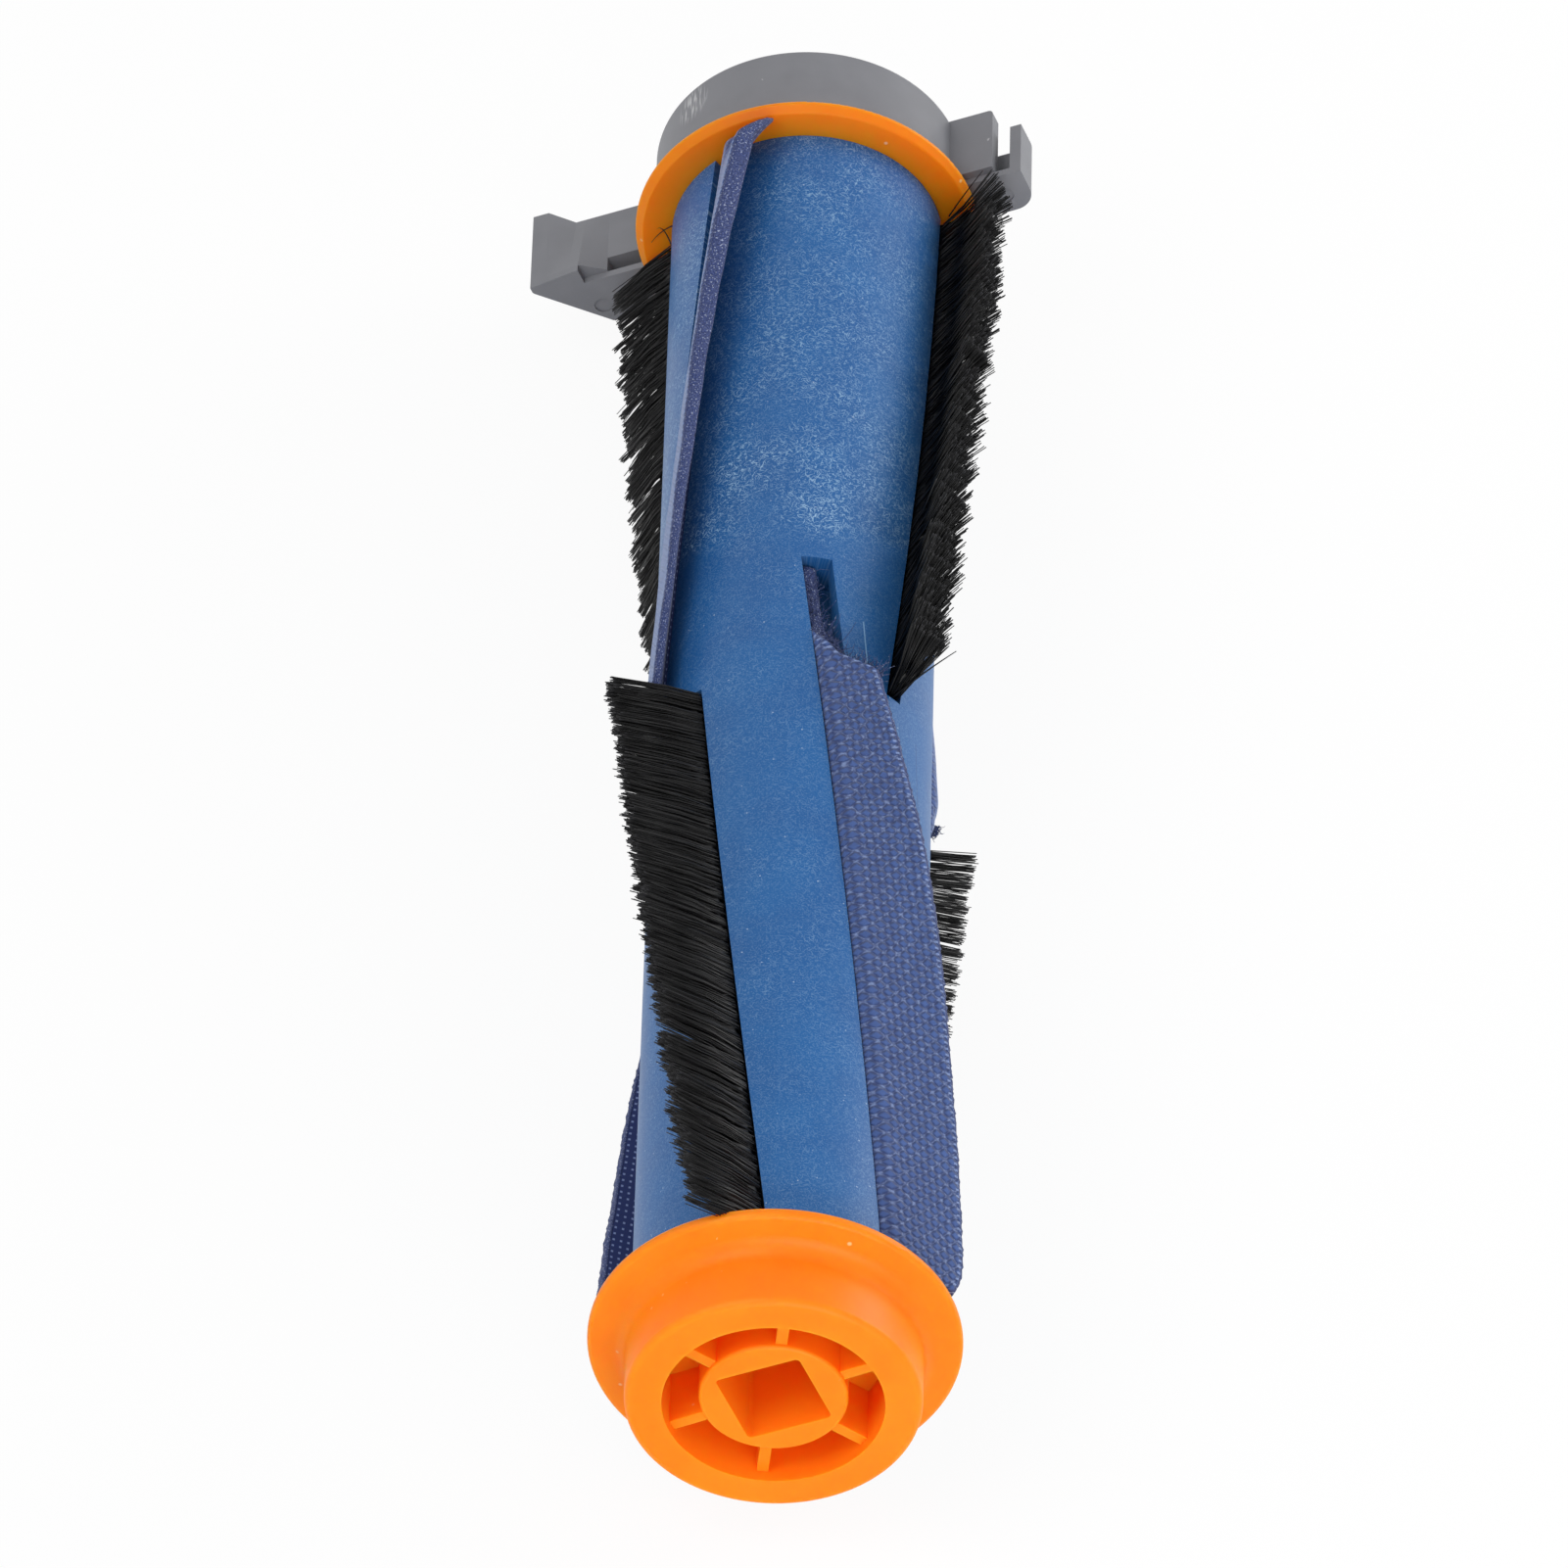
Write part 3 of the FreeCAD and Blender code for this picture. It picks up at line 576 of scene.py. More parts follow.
@dataclass(frozen=True)
class MouldedPlastic(Finish):
    """Moulded plastic with a fine grain, cloudy gloss, small nicks and specks of dust.

    Args:
        colour: screen colour of the clean plastic.
        deep: screen colour that it drifts towards in clouds.
        speck: screen colour of nicks and dust.
        grain_pitch: pitch of the grain.
        grain_depth: depth of the grain.
        speck_share: share of places that have a speck, from nought to one.
        shine: strength of its clear reflection.
        glow: how much light passes through it.
        glow_depth: how deep that light goes.
        glow_reach: how far red, green and blue go, as shares of that depth.
        mark: place of a rubbed mark, in metres.
        mark_radius: radius of the rubbed mark, in metres; nought leaves it out.
    """

    colour: Colour = (128, 128, 128)
    deep: Colour = (110, 110, 110)
    speck: Colour = (220, 220, 220)
    grain_pitch: float = 0.25
    grain_depth: float = 0.004
    speck_share: float = 0.3
    shine: float = 0.4
    glow: float = 0.0
    glow_depth: float = 4.5
    glow_reach: tuple[float, float, float] = (1.0, 0.32, 0.08)
    mark: tuple[float, float, float] = (0.0, 0.0, 0.0)
    mark_radius: float = 0.0

    def marks(self, knot: Knot, place: Socket) -> Socket:
        """Where nicks and dust lie, and the rubbed mark with its scratches along the axis.

        Args:
            knot: helper on the material's tree.
            place: place on the object, in metres.

        Returns:
            One where a mark lies and nought elsewhere.
        """
        cells = knot.add("ShaderNodeTexVoronoi", {"Vector": place, "Scale": 420.0, "Randomness": 1.0})
        dot = knot.fall(cells.outputs["Distance"], 0.05, 0.12)
        chosen = knot.math("GREATER_THAN", knot.noise(place, 310.0, 0.0), 0.75 - 0.5 * self.speck_share)
        specks = knot.math("MULTIPLY", dot, chosen)
        if not self.mark_radius:
            return specks
        away = knot.add("ShaderNodeVectorMath", {0: place, 1: self.mark}, operation="DISTANCE")
        inside = knot.fall(away.outputs["Value"], 0.3 * self.mark_radius, self.mark_radius)
        drawn = knot.vector("MULTIPLY", place, (4200.0, 420.0, 4200.0))
        scratches = knot.ramp(knot.noise(drawn, 1.0, 1.0), 0.5, 0.62)
        return knot.math("MAXIMUM", specks, knot.math("MULTIPLY", inside, scratches))

    def material(self, effects: Effects) -> bpy.types.Material:
        """Material of this plastic."""
        material, knot, shader = self.start()
        place = knot.object_place()
        grain = effects.place(knot, Group.GRAIN, {"Place": place, "Pitch": self.grain_pitch})
        clouds = knot.ramp(grain["Cloud"], 0.35, 0.65)
        ground = knot.mix(clouds, linear(self.deep), linear(self.colour))
        marked = self.marks(knot, place)
        shade = knot.mix(knot.math("MULTIPLY", marked, 0.6), ground, linear(self.speck))
        knot.feed(shader, {
            "Base Color": shade,
            "Roughness": knot.math("MULTIPLY_ADD", marked, 0.12, self.gloss(knot, grain["Cloud"], 0.14)),
            "Specular IOR Level": self.shine,
            "Subsurface Weight": self.glow,
            "Subsurface Radius": self.glow_reach,
            "Subsurface Scale": self.glow_depth * MM,
            "Normal": self.relief(knot, grain["Height"], self.grain_depth),
        })
        return material


@dataclass(frozen=True)
class Scratch:
    """Fine line along the core.

    Args:
        arc: arc length from the top where it starts.
        start: where it starts along the axis.
        end: where it ends.
        slope: how far it wanders round for each millimetre along.
        colour: screen colour.
    """

    arc: float
    start: float
    end: float
    slope: float
    colour: Colour

    def share(self, knot: Knot, arc: Socket, along: Socket) -> Socket:
        """How much of the scratch shows at a place on the core's plan.

        Args:
            knot: helper on the material's tree.
            arc: arc length of the place.
            along: place along the axis.

        Returns:
            One in the middle of the line and nought beside it.
        """
        run = knot.math("SUBTRACT", along, self.start)
        line = knot.math("MULTIPLY_ADD", run, self.slope, self.arc)
        beside = knot.math("ABSOLUTE", knot.math("SUBTRACT", arc, line))
        half = 0.5 * (self.end - self.start)
        inner = knot.math("COMPARE", run, half, abs(half))
        return knot.math("MULTIPLY", knot.fall(beside, 0.03, 0.1), inner)


@dataclass(frozen=True)
class CorePlastic(Finish):
    """Fibre-filled blue plastic: light fibres show in curls on the bearing half, most where they start.

    Args:
        colour: screen colour of the plastic.
        deep: screen colour of its darker drifts.
        fibre: screen colour of the fibres.
        speck: screen colour of the specks.
        fibre_start: place along the axis where the dense fibres start.
        fibre_drift: how far that place drifts each way round the core.
        fibre_near: how densely fibres lie before that place.
        fibre_most: how densely they lie just past it.
        fibre_far: how densely they lie at the bearing end.
        fibre_strength: how light they are.
        grain_pitch: pitch of the grain.
        grain_depth: depth of the grain.
        shine: strength of its clear reflection.
        scratches: fine lines on it.
        scratch_strength: how clearly they show.
    """

    colour: Colour = (31, 92, 152)
    deep: Colour = (27, 85, 145)
    fibre: Colour = (172, 206, 232)
    speck: Colour = (214, 228, 240)
    fibre_start: float = 107.3
    fibre_drift: float = 8.0
    fibre_near: float = 0.19
    fibre_most: float = 0.78
    fibre_far: float = 0.44
    fibre_strength: float = 0.72
    grain_pitch: float = 0.3
    grain_depth: float = 0.005
    shine: float = 0.24
    scratches: tuple[Scratch, ...] = (
        Scratch(6.1, 94.2, 88.3, -0.1, (150, 190, 225)),
        Scratch(13.9, 82.7, 66.0, -0.08, (30, 62, 110)),
    )
    scratch_strength: float = 0.6

    def fibre_amount(self, knot: Knot, along: Socket) -> Socket:
        """How densely fibres lie along the core: few, then a sudden drift that thins out."""
        sudden = {
            "Value": along, "From Min": self.fibre_start - 2.0, "From Max": self.fibre_start + 1.5,
            "To Min": self.fibre_near, "To Max": self.fibre_most,
        }
        thinning = {
            "Value": along, "From Min": self.fibre_start, "From Max": self.fibre_start + 20.0,
            "To Min": 0.0, "To Max": self.fibre_most - self.fibre_far,
        }
        steps = [knot.add("ShaderNodeMapRange", limits).outputs["Result"] for limits in (sudden, thinning)]
        return knot.math("SUBTRACT", *steps)

    def material(self, effects: Effects) -> bpy.types.Material:
        """Material of the core."""
        material, knot, shader = self.start()
        place = knot.object_place()
        plan = effects.place(knot, Group.AXIS_PLAN, {"Place": place, "Radius": ROLLER.core_radius})["Plan"]
        flat = knot.parts(plan)
        drift = knot.math("MULTIPLY_ADD", knot.noise(plan, 0.09), 2 * self.fibre_drift, -self.fibre_drift)
        amount = self.fibre_amount(knot, knot.math("ADD", flat["Y"], drift))
        marks = effects.place(knot, Group.FLECKS, {"Plan": plan, "Amount": amount})
        grain = effects.place(knot, Group.GRAIN, {"Place": place, "Pitch": self.grain_pitch})
        clouds = knot.ramp(grain["Cloud"], 0.3, 0.7)
        shade = knot.mix(clouds, linear(self.deep), linear(self.colour))
        share = knot.math("MULTIPLY", marks["Strokes"], self.fibre_strength)
        shade = knot.mix(share, shade, linear(self.fibre))
        shade = knot.mix(knot.math("MULTIPLY", marks["Specks"], 0.5), shade, linear(self.speck))
        for scratch in self.scratches:
            line = knot.math("MULTIPLY", scratch.share(knot, flat["X"], flat["Y"]), self.scratch_strength)
            shade = knot.mix(line, shade, linear(scratch.colour))
        knot.feed(shader, {
            "Base Color": shade,
            "Roughness": self.gloss(knot, grain["Cloud"], 0.16),
            "Specular IOR Level": self.shine,
            "Normal": self.relief(knot, grain["Height"], self.grain_depth),
        })
        return material


@dataclass(frozen=True)
class Filament(Finish):
    """Black nylon hair, a little different from one to the next, with a painted glint on its cut tips.

    Args:
        dark: screen colour of the darkest hairs.
        light: screen colour of the lightest hairs.
        tip: screen colour of the painted glint on cut tips.
        shine: strength of its clear reflection.
    """

    dark: Colour = (3, 3, 4)
    light: Colour = (18, 18, 20)
    tip: Colour = (56, 56, 60)
    shine: float = 0.27

    def material(self) -> bpy.types.Material:
        """Material of the hairs, which reads each hair's own tone."""
        material, knot, shader = self.start()
        tone = knot.attribute("tone")
        shade = knot.mix(tone, linear(self.dark), linear(self.light))
        # Painted glint: the cut tips turn lighter, most on the lighter hairs.
        cut = knot.math("MULTIPLY", knot.ramp(knot.attribute("along"), 0.97, 1.0), tone)
        knot.feed(shader, {
            "Base Color": knot.mix(cut, shade, linear(self.tip)),
            "Roughness": self.gloss(knot, tone, 0.2),
            "Specular IOR Level": self.shine,
        })
        return material


@dataclass(frozen=True)
class WovenCloth(Finish):
    """Woven, felt-backed strip: a diamond weave on its face, dots on its back and felt on its cut edges.

    Args:
        thread: screen colour of the threads.
        dark_and_seam_shade: dark screen colour of the painted shade in the seams between the threads, of
            darker cloudy drifts on the face and of dark tufts in the felt.
        crown: screen colour of the painted highlights where threads cross, and of the stitches.
        back: screen colour of the back.
        dot: screen colour of the dots on the back.
        felt: screen colour of the cut edge.
        pale: screen colour of light tufts in the cut edge.
        painted_sheen: screen colour of the painted sheen on the face seen from low down.
        pitch: pitch of the weave.
        depth: depth of the weave.
        stitch_pitch: pitch of the stitches along the tip, and of the back's dots across it.
        dot_pitch: pitch of the back's dots along it.
    """

    thread: Colour = (61, 87, 144)
    dark_and_seam_shade: Colour = (26, 43, 92)
    crown: Colour = (138, 158, 204)
    back: Colour = (24, 40, 92)
    dot: Colour = (150, 166, 208)
    felt: Colour = (66, 82, 136)
    pale: Colour = (190, 200, 225)
    painted_sheen: Colour = (150, 168, 208)
    pitch: float = 1.0
    depth: float = 0.2
    stitch_pitch: float = 0.75
    dot_pitch: float = 0.9

    def rim_stitches(self, knot: Knot, plan: Socket) -> Socket:
        """Row of light dots just inside the tip, one for each pitch along it."""
        turn = knot.math("MULTIPLY", knot.parts(plan)["X"], 2 * math.pi / self.stitch_pitch)
        beside = knot.math("ABSOLUTE", knot.math("SUBTRACT", knot.attribute("rim"), 0.3))
        dots = knot.math("MULTIPLY", knot.ramp(knot.math("SINE", turn), 0.2, 0.8), 0.7)
        return knot.math("MULTIPLY", knot.fall(beside, 0.1, 0.25), dots)

    def back_dots(self, knot: Knot, plan: Socket) -> Socket:
        """Columns of small dots on the back, where both a wave along it and a wave across it are high."""
        flat = knot.parts(plan)
        along = knot.math("COSINE", knot.math("MULTIPLY", flat["X"], 2 * math.pi / self.dot_pitch))
        across = knot.math("COSINE", knot.math("MULTIPLY", flat["Y"], 2 * math.pi / self.stitch_pitch))
        return knot.ramp(knot.math("MINIMUM", along, across), 0.35, 0.8)

    def face(self, knot: Knot, plan: Socket, weave: bpy.types.NodeOutputs) -> Socket:
        """Colour of the woven face.

        Args:
            knot: helper on the material's tree.
            plan: place on the strip's flat plan.
            weave: height of the weave, and its painted highlights where threads cross.

        Returns:
            Threads with painted seam shade and darker cloudy drifts, a painted sheen from low down, painted
            highlights where they cross, and light stitches.
        """
        # Painted shade: the low seams between the pillows are darkened towards the dark colour.
        threads = knot.mix(weave["Height"], linear(self.dark_and_seam_shade), linear(self.thread))
        cloudy = knot.ramp(knot.noise(plan, 0.35), 0.3, 0.7)
        shaded = knot.mix(knot.math("MULTIPLY", cloudy, 0.25), threads, linear(self.dark_and_seam_shade))
        # Painted sheen: the face turns paler towards this colour where it is seen from low down.
        facing = knot.add("ShaderNodeLayerWeight", {"Blend": 0.5}).outputs["Facing"]
        low = knot.math("MULTIPLY", knot.ramp(facing, 0.6, 0.95), 0.7)
        shaded = knot.mix(low, shaded, linear(self.painted_sheen))
        # Painted highlights where the threads cross.
        highlighted = knot.mix(knot.math("MULTIPLY", weave["Crowns"], 0.62), shaded, linear(self.crown))
        return knot.mix(self.rim_stitches(knot, plan), highlighted, linear(self.crown))

    def material(self, effects: Effects) -> bpy.types.Material:
        """Material of a strip, which reads its plan and its layer: nought on the face, one on the back."""
        material, knot, shader = self.start()
        plan = knot.add("ShaderNodeUVMap", uv_map="plan").outputs["UV"]
        layer = knot.attribute("layer")
        weave = effects.place(knot, Group.WEAVE, {"Plan": plan, "Pitch": self.pitch})
        dots = knot.math("MULTIPLY", self.back_dots(knot, plan), 0.7)
        back = knot.mix(dots, linear(self.back), linear(self.dot))
        tufts = knot.noise(plan, 5.5, 3.0)
        felt = knot.mix(knot.ramp(tufts, 0.38, 0.7), linear(self.dark_and_seam_shade), linear(self.felt))
        light = knot.math("MULTIPLY", knot.ramp(knot.noise(plan, 4.2, 1.0), 0.6, 0.7), 0.6)
        edge = knot.mix(light, felt, linear(self.pale))
        on_edge = knot.ramp(layer, 0.1, 0.3)
        on_back = knot.ramp(layer, 0.7, 0.9)
        outside = knot.mix(on_edge, self.face(knot, plan, weave), edge)
        woven = knot.math("MULTIPLY", weave["Height"], knot.math("SUBTRACT", 1.0, on_edge))
        rough = knot.math("MULTIPLY", tufts, knot.math("SUBTRACT", on_edge, on_back))
        knot.feed(shader, {
            "Base Color": knot.mix(on_back, outside, back),
            "Normal": self.relief(knot, knot.math("ADD", woven, rough), self.depth),
            "Sheen Weight": 0.1,
            "Sheen Roughness": 0.4,
        })
        return material


@dataclass(frozen=True)
class TurnedMetal(Finish):
    """Turned metal with fine rings round the axis.

    Args:
        colour: screen colour of the metal.
        worn: share of that colour that the darker rings have.
    """

    colour: Colour = (190, 190, 194)
    worn: float = 0.82

    def material(self) -> bpy.types.Material:
        """Material of the metal."""
        material, knot, shader = self.start()
        drawn = knot.vector("MULTIPLY", knot.object_place(), (40.0, 9000.0, 40.0))
        rings = knot.noise(drawn, 1.0)
        dark = tuple(self.worn * part for part in self.colour)
        knot.feed(shader, {
            "Base Color": knot.mix(rings, linear(dark), linear(self.colour)),
            "Roughness": self.gloss(knot, rings, 0.2),
            "Metallic": 1.0,
        })
        return material


# Strips of the roller


@dataclass(frozen=True)
class RowManner:
    """How the filaments of one row lie.

    Args:
        lean: lean from the radius, at the mid plane end, half way and at the cap end.
        fan: spread of the lean between the row's two faces.
        gather: share by which tips draw together into points.
        ragged: most that a point falls short of the full reach.
        pitch: pitch of the points along the row.
        tilt: how far tips lie along the roller from their roots, at the mid plane end and at the cap end.
        loose: how unevenly the points lie, from nought to one.
    """

    lean: tuple[float, float, float]
    fan: float
    gather: float
    ragged: float
    pitch: float
    tilt: tuple[float, float]
    loose: float


@dataclass(frozen=True)
class LooseHair:
    """One filament that has come out of line, through three places.

    Args:
        course: its root, middle and tip, each as distance from the axis, angle about it and place along it.
        radius: radius at its root; it thins to a third at its tip.
    """

    course: tuple[tuple[float, float, float], ...]
    radius: float

    def line(self, share: Array) -> Array:
        """Points of the parabola through its three places, at shares of its length.

        The places weigh (1 - t)(1 - 2t), 4t(1 - t) and t(2t - 1) at a share t.

        Args:
            share: shares from nought to one.

        Returns:
            Array of points.
        """
        away, angle, along = np.array(self.course).T
        turn = np.radians(angle)
        places = np.stack([away * np.sin(turn), along, away * np.cos(turn)], axis=1)
        rest = 1 - share
        weights = np.stack([rest * (1 - 2 * share), 4 * share * rest, share * (2 * share - 1)], axis=1)
        return weights @ places


@dataclass(frozen=True)
class LooseHairs:
    """Filaments that stand out of the rows, as one piece."""

    hairs: tuple[LooseHair, ...] = (
        LooseHair(((13.6, 41.8, 86.3), (17.7, 42.4, 87.0), (21.4, 44.1, 88.0)), 0.15),
        LooseHair(((13.9, -97.0, 162.2), (14.7, -91.6, 162.85), (15.4, -91.2, 162.85)), 0.09),
        LooseHair(((13.9, -86.5, 162.2), (15.0, -93.2, 162.85), (15.95, -98.1, 162.85)), 0.09),
        LooseHair(((15.0, 70.0, 162.0), (17.4, 63.4, 162.8), (20.2, 57.6, 163.0)), 0.1),
    )
    points: int = 9

    def build(self, finish: bpy.types.Material) -> bpy.types.Object:
        """Make the hairs and put them on the roller.

        Args:
            finish: material of the filaments.

        Returns:
            The hairs' object.
        """
        share = np.linspace(0.0, 1.0, self.points)
        lines = np.stack([hair.line(share) for hair in self.hairs])
        radius = np.array([[hair.radius] for hair in self.hairs]) * np.linspace(1.0, 0.33, self.points)
        piece = hairs(lines, radius, np.zeros(len(self.hairs))).to_object("loose_filaments")
        piece.data.materials.append(finish)
        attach(piece, "roller")
        LOG.info("%s: %d faces", piece.name, len(piece.data.polygons))
        return piece


@dataclass(frozen=True)
class BristleRow:
    """Row of leaning filaments in one slot.

    Args:
        half: half of the roller.
        number: 1 or 2, as in the frame's names.
        manner: how its filaments lie.
        seed: start of its random numbers.
        filaments: number of filaments.
        filament_radius: mean radius of a filament.
    """

    half: Half
    number: int
    manner: RowManner
    seed: int
    filaments: int
    filament_radius: float

    angle: float = -42.7
    tip_radius: float = 21.75
    thickness: float = 1.55
    root_depth: float = 1.1
    end_gap: float = 0.5
    end_spread: float = 7.0
    even_end: float = 4.0
    band_stations: int = 60
    band_share: float = 0.38
    band_shoulder: float = 0.4
    band_height: float = 2.6

    @property
    def node(self) -> str:
        """Name of the frame's node that the row stands for."""
        return f"bristle_row_{self.half.name.lower()}_{self.number}"

    @property
    def slot(self) -> SlotPath:
        """Path of the row's slot."""
        return SlotPath(self.half, self.number, self.angle)

    def lean_at(self, distance: Array) -> Array:
        """Lean at distances from the mid plane, between the three set leans."""
        return np.interp(distance, np.linspace(0.0, self.half.reach, 3), self.manner.lean)

    def centre_lines(self, rng: np.random.Generator) -> Array:
        """Centre lines of the filaments.

        Each starts in the slot and bends from the radius to its lean. Its length is what takes it from the
        core's surface to its reach, by the cosine rule. Tips draw towards the middle of their point of hairs.

        Args:
            rng: source of random numbers.

        Returns:
            Array of filaments, points and coordinates.
        """
        count = self.filaments
        length = self.half.reach - 2 * self.end_gap
        start = self.end_gap + length * rng.random(count)
        across = (rng.random(count) - 0.5) * self.thickness
        points = int(length / self.manner.pitch)
        loose = self.manner.loose
        jitter = 0.35 * loose * rng.standard_normal(points)
        middles = np.sort(self.end_gap + (np.arange(points) + 0.5 + jitter) * self.manner.pitch)
        nearest = np.clip(np.searchsorted((middles[1:] + middles[:-1]) / 2, start), 0, points - 1)
        pull = self.manner.gather * rng.uniform(0.55, 1.0, count)
        ends = [0.0, self.end_spread, self.half.reach - self.end_spread, self.half.reach]
        tilt = np.interp(start, ends, [self.manner.tilt[0], 0.2, 0.2, self.manner.tilt[1]])
        along = start + pull * (middles[nearest] - start) + tilt
        along = along + 0.3 * loose * rng.standard_normal(points)[nearest] + 0.1 * rng.standard_normal(count)
        lean = self.lean_at(start) - self.manner.fan * across / self.thickness
        lean = lean + 2.4 * loose * rng.standard_normal(points)[nearest] + 1.6 * rng.standard_normal(count)
        inside = np.clip(np.minimum(start, self.half.reach - start) / self.even_end, 0.25, 1.0)
        short = inside * self.manner.ragged * rng.random(points)[nearest]
        short = short + 0.22 * np.abs(rng.standard_normal(count))
        return self.bent_lines(start, across, np.radians(lean), along, self.tip_radius - short)

    def bent_lines(self, start: Array, across: Array, lean: Array, along: Array, reach: Array) -> Array:
        """Lines from the slot to tips at a given reach from the axis.

        Args:
            start: distance of each root from the mid plane.
            across: place of each root across the slot.
            lean: lean of each, in radians.
            along: distance of each tip from the mid plane.
            reach: distance of each tip from the axis.

        Returns:
            Array of lines, points and coordinates.
        """
        surface = ROLLER.core_radius
        middle = surface * np.cos(lean) - across * np.sin(lean)
        free = np.sqrt(middle ** 2 - across ** 2 - surface ** 2 + reach ** 2) - middle
        steps = np.array([0.0, 0.0, 0.4, 1.0])
        out = np.array([-self.root_depth, 0.0, 0.0, 0.0])
        bend = 0.05 * free[:, None] * np.sin(np.pi * steps) * np.sin(lean)[:, None]
        side = across[:, None] - free[:, None] * steps * np.sin(lean)[:, None] + bend * np.cos(lean)[:, None]
        rise = surface + out + free[:, None] * steps * np.cos(lean)[:, None] + bend * np.sin(lean)[:, None]
        distance = start[:, None] + (along - start)[:, None] * steps ** 0.9
        return self.slot.place(side, rise, distance)

    def underlay(self) -> Facets:
        """Dark root of the row: a thin band along the slot, a third as tall as the hairs."""
        margin = 2 * self.end_gap
        stations = np.linspace(margin, self.half.reach - margin, self.band_stations)[:, None]
        lean = np.radians(self.lean_at(stations))
        half = self.band_share * self.thickness
        low, shoulder, high = -self.root_depth, self.band_shoulder, self.band_height
        levels = np.array([[low, shoulder, high, high, shoulder, low]])
        sides = np.array([[-half, -half, -0.4 * half, 0.4 * half, half, half]])
        columns = levels.shape[1]
        rise = np.maximum(levels, 0.0)
        side = sides - rise * np.sin(lean)
        out = ROLLER.core_radius + np.minimum(levels, 0.0) + rise * np.cos(lean)
        points = self.slot.place(side, out, np.broadcast_to(stations, side.shape)).reshape(-1, 3)
        quads = grid_quads(self.band_stations, columns, wrap=True, flip=self.half is Half.BEARING)
        ends = np.array([[0, 1, 2, 3], [0, 3, 4, 5]])
        caps = np.concatenate([ends[:, ::-1], ends + columns * (self.band_stations - 1)])
        caps = caps if self.half is Half.DRIVE else caps[:, ::-1]
        zeros = np.zeros(len(points))
        return Facets(points, np.concatenate([quads, caps]), np.zeros((0, 3), int),
                      {"tone": zeros, "along": zeros}, np.zeros((len(points), 2)))

    def build(self, finish: bpy.types.Material) -> bpy.types.Object:
        """Make the row, put it on the roller and have it stand for its node.

        Args:
            finish: material of the filaments.

        Returns:
            The row's object.
        """
        rng = np.random.default_rng(self.seed)
        lines = self.centre_lines(rng)
        thin = self.filament_radius * rng.uniform(0.85, 1.15, self.filaments)
        radius = thin[:, None] * np.array([1.0, 1.0, 1.0, 0.8])
        tone = rng.random(self.filaments) ** 2
        made = Facets.joined([hairs(lines, radius, tone), self.underlay()])
        piece = made.to_object(self.node.replace("row", "filaments"))
        piece.data.materials.append(finish)
        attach(piece, "roller")
        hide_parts(self.node)
        LOG.info("%s: %d faces", piece.name, len(piece.data.polygons))
        return piece


@dataclass(frozen=True)
class FlapManner:
    """How the flaps of one half lie.

    Args:
        bend_start: distance from the axis at which a flap starts to bend.
        leans: lean of the blade at each of the lean places.
        tips: thickness of the tip at each of the tip places.
        corner_drop: how much shorter the blade is at the very end.
        fray: most that a thread stands out of the cut.
        lean_places: distances from the mid plane that the leans are given at.
        tip_places: distances from the mid plane that the tips are given at.
    """

    bend_start: float
    leans: tuple[float, ...]
    tips: tuple[float, ...]
    corner_drop: float
    fray: float

    lean_places: tuple[float, ...] = (0.0, 25.0, 51.0, 72.5, 77.0)
    tip_places: tuple[float, ...] = (15.0, 40.0, 60.0, 71.0, 76.6)


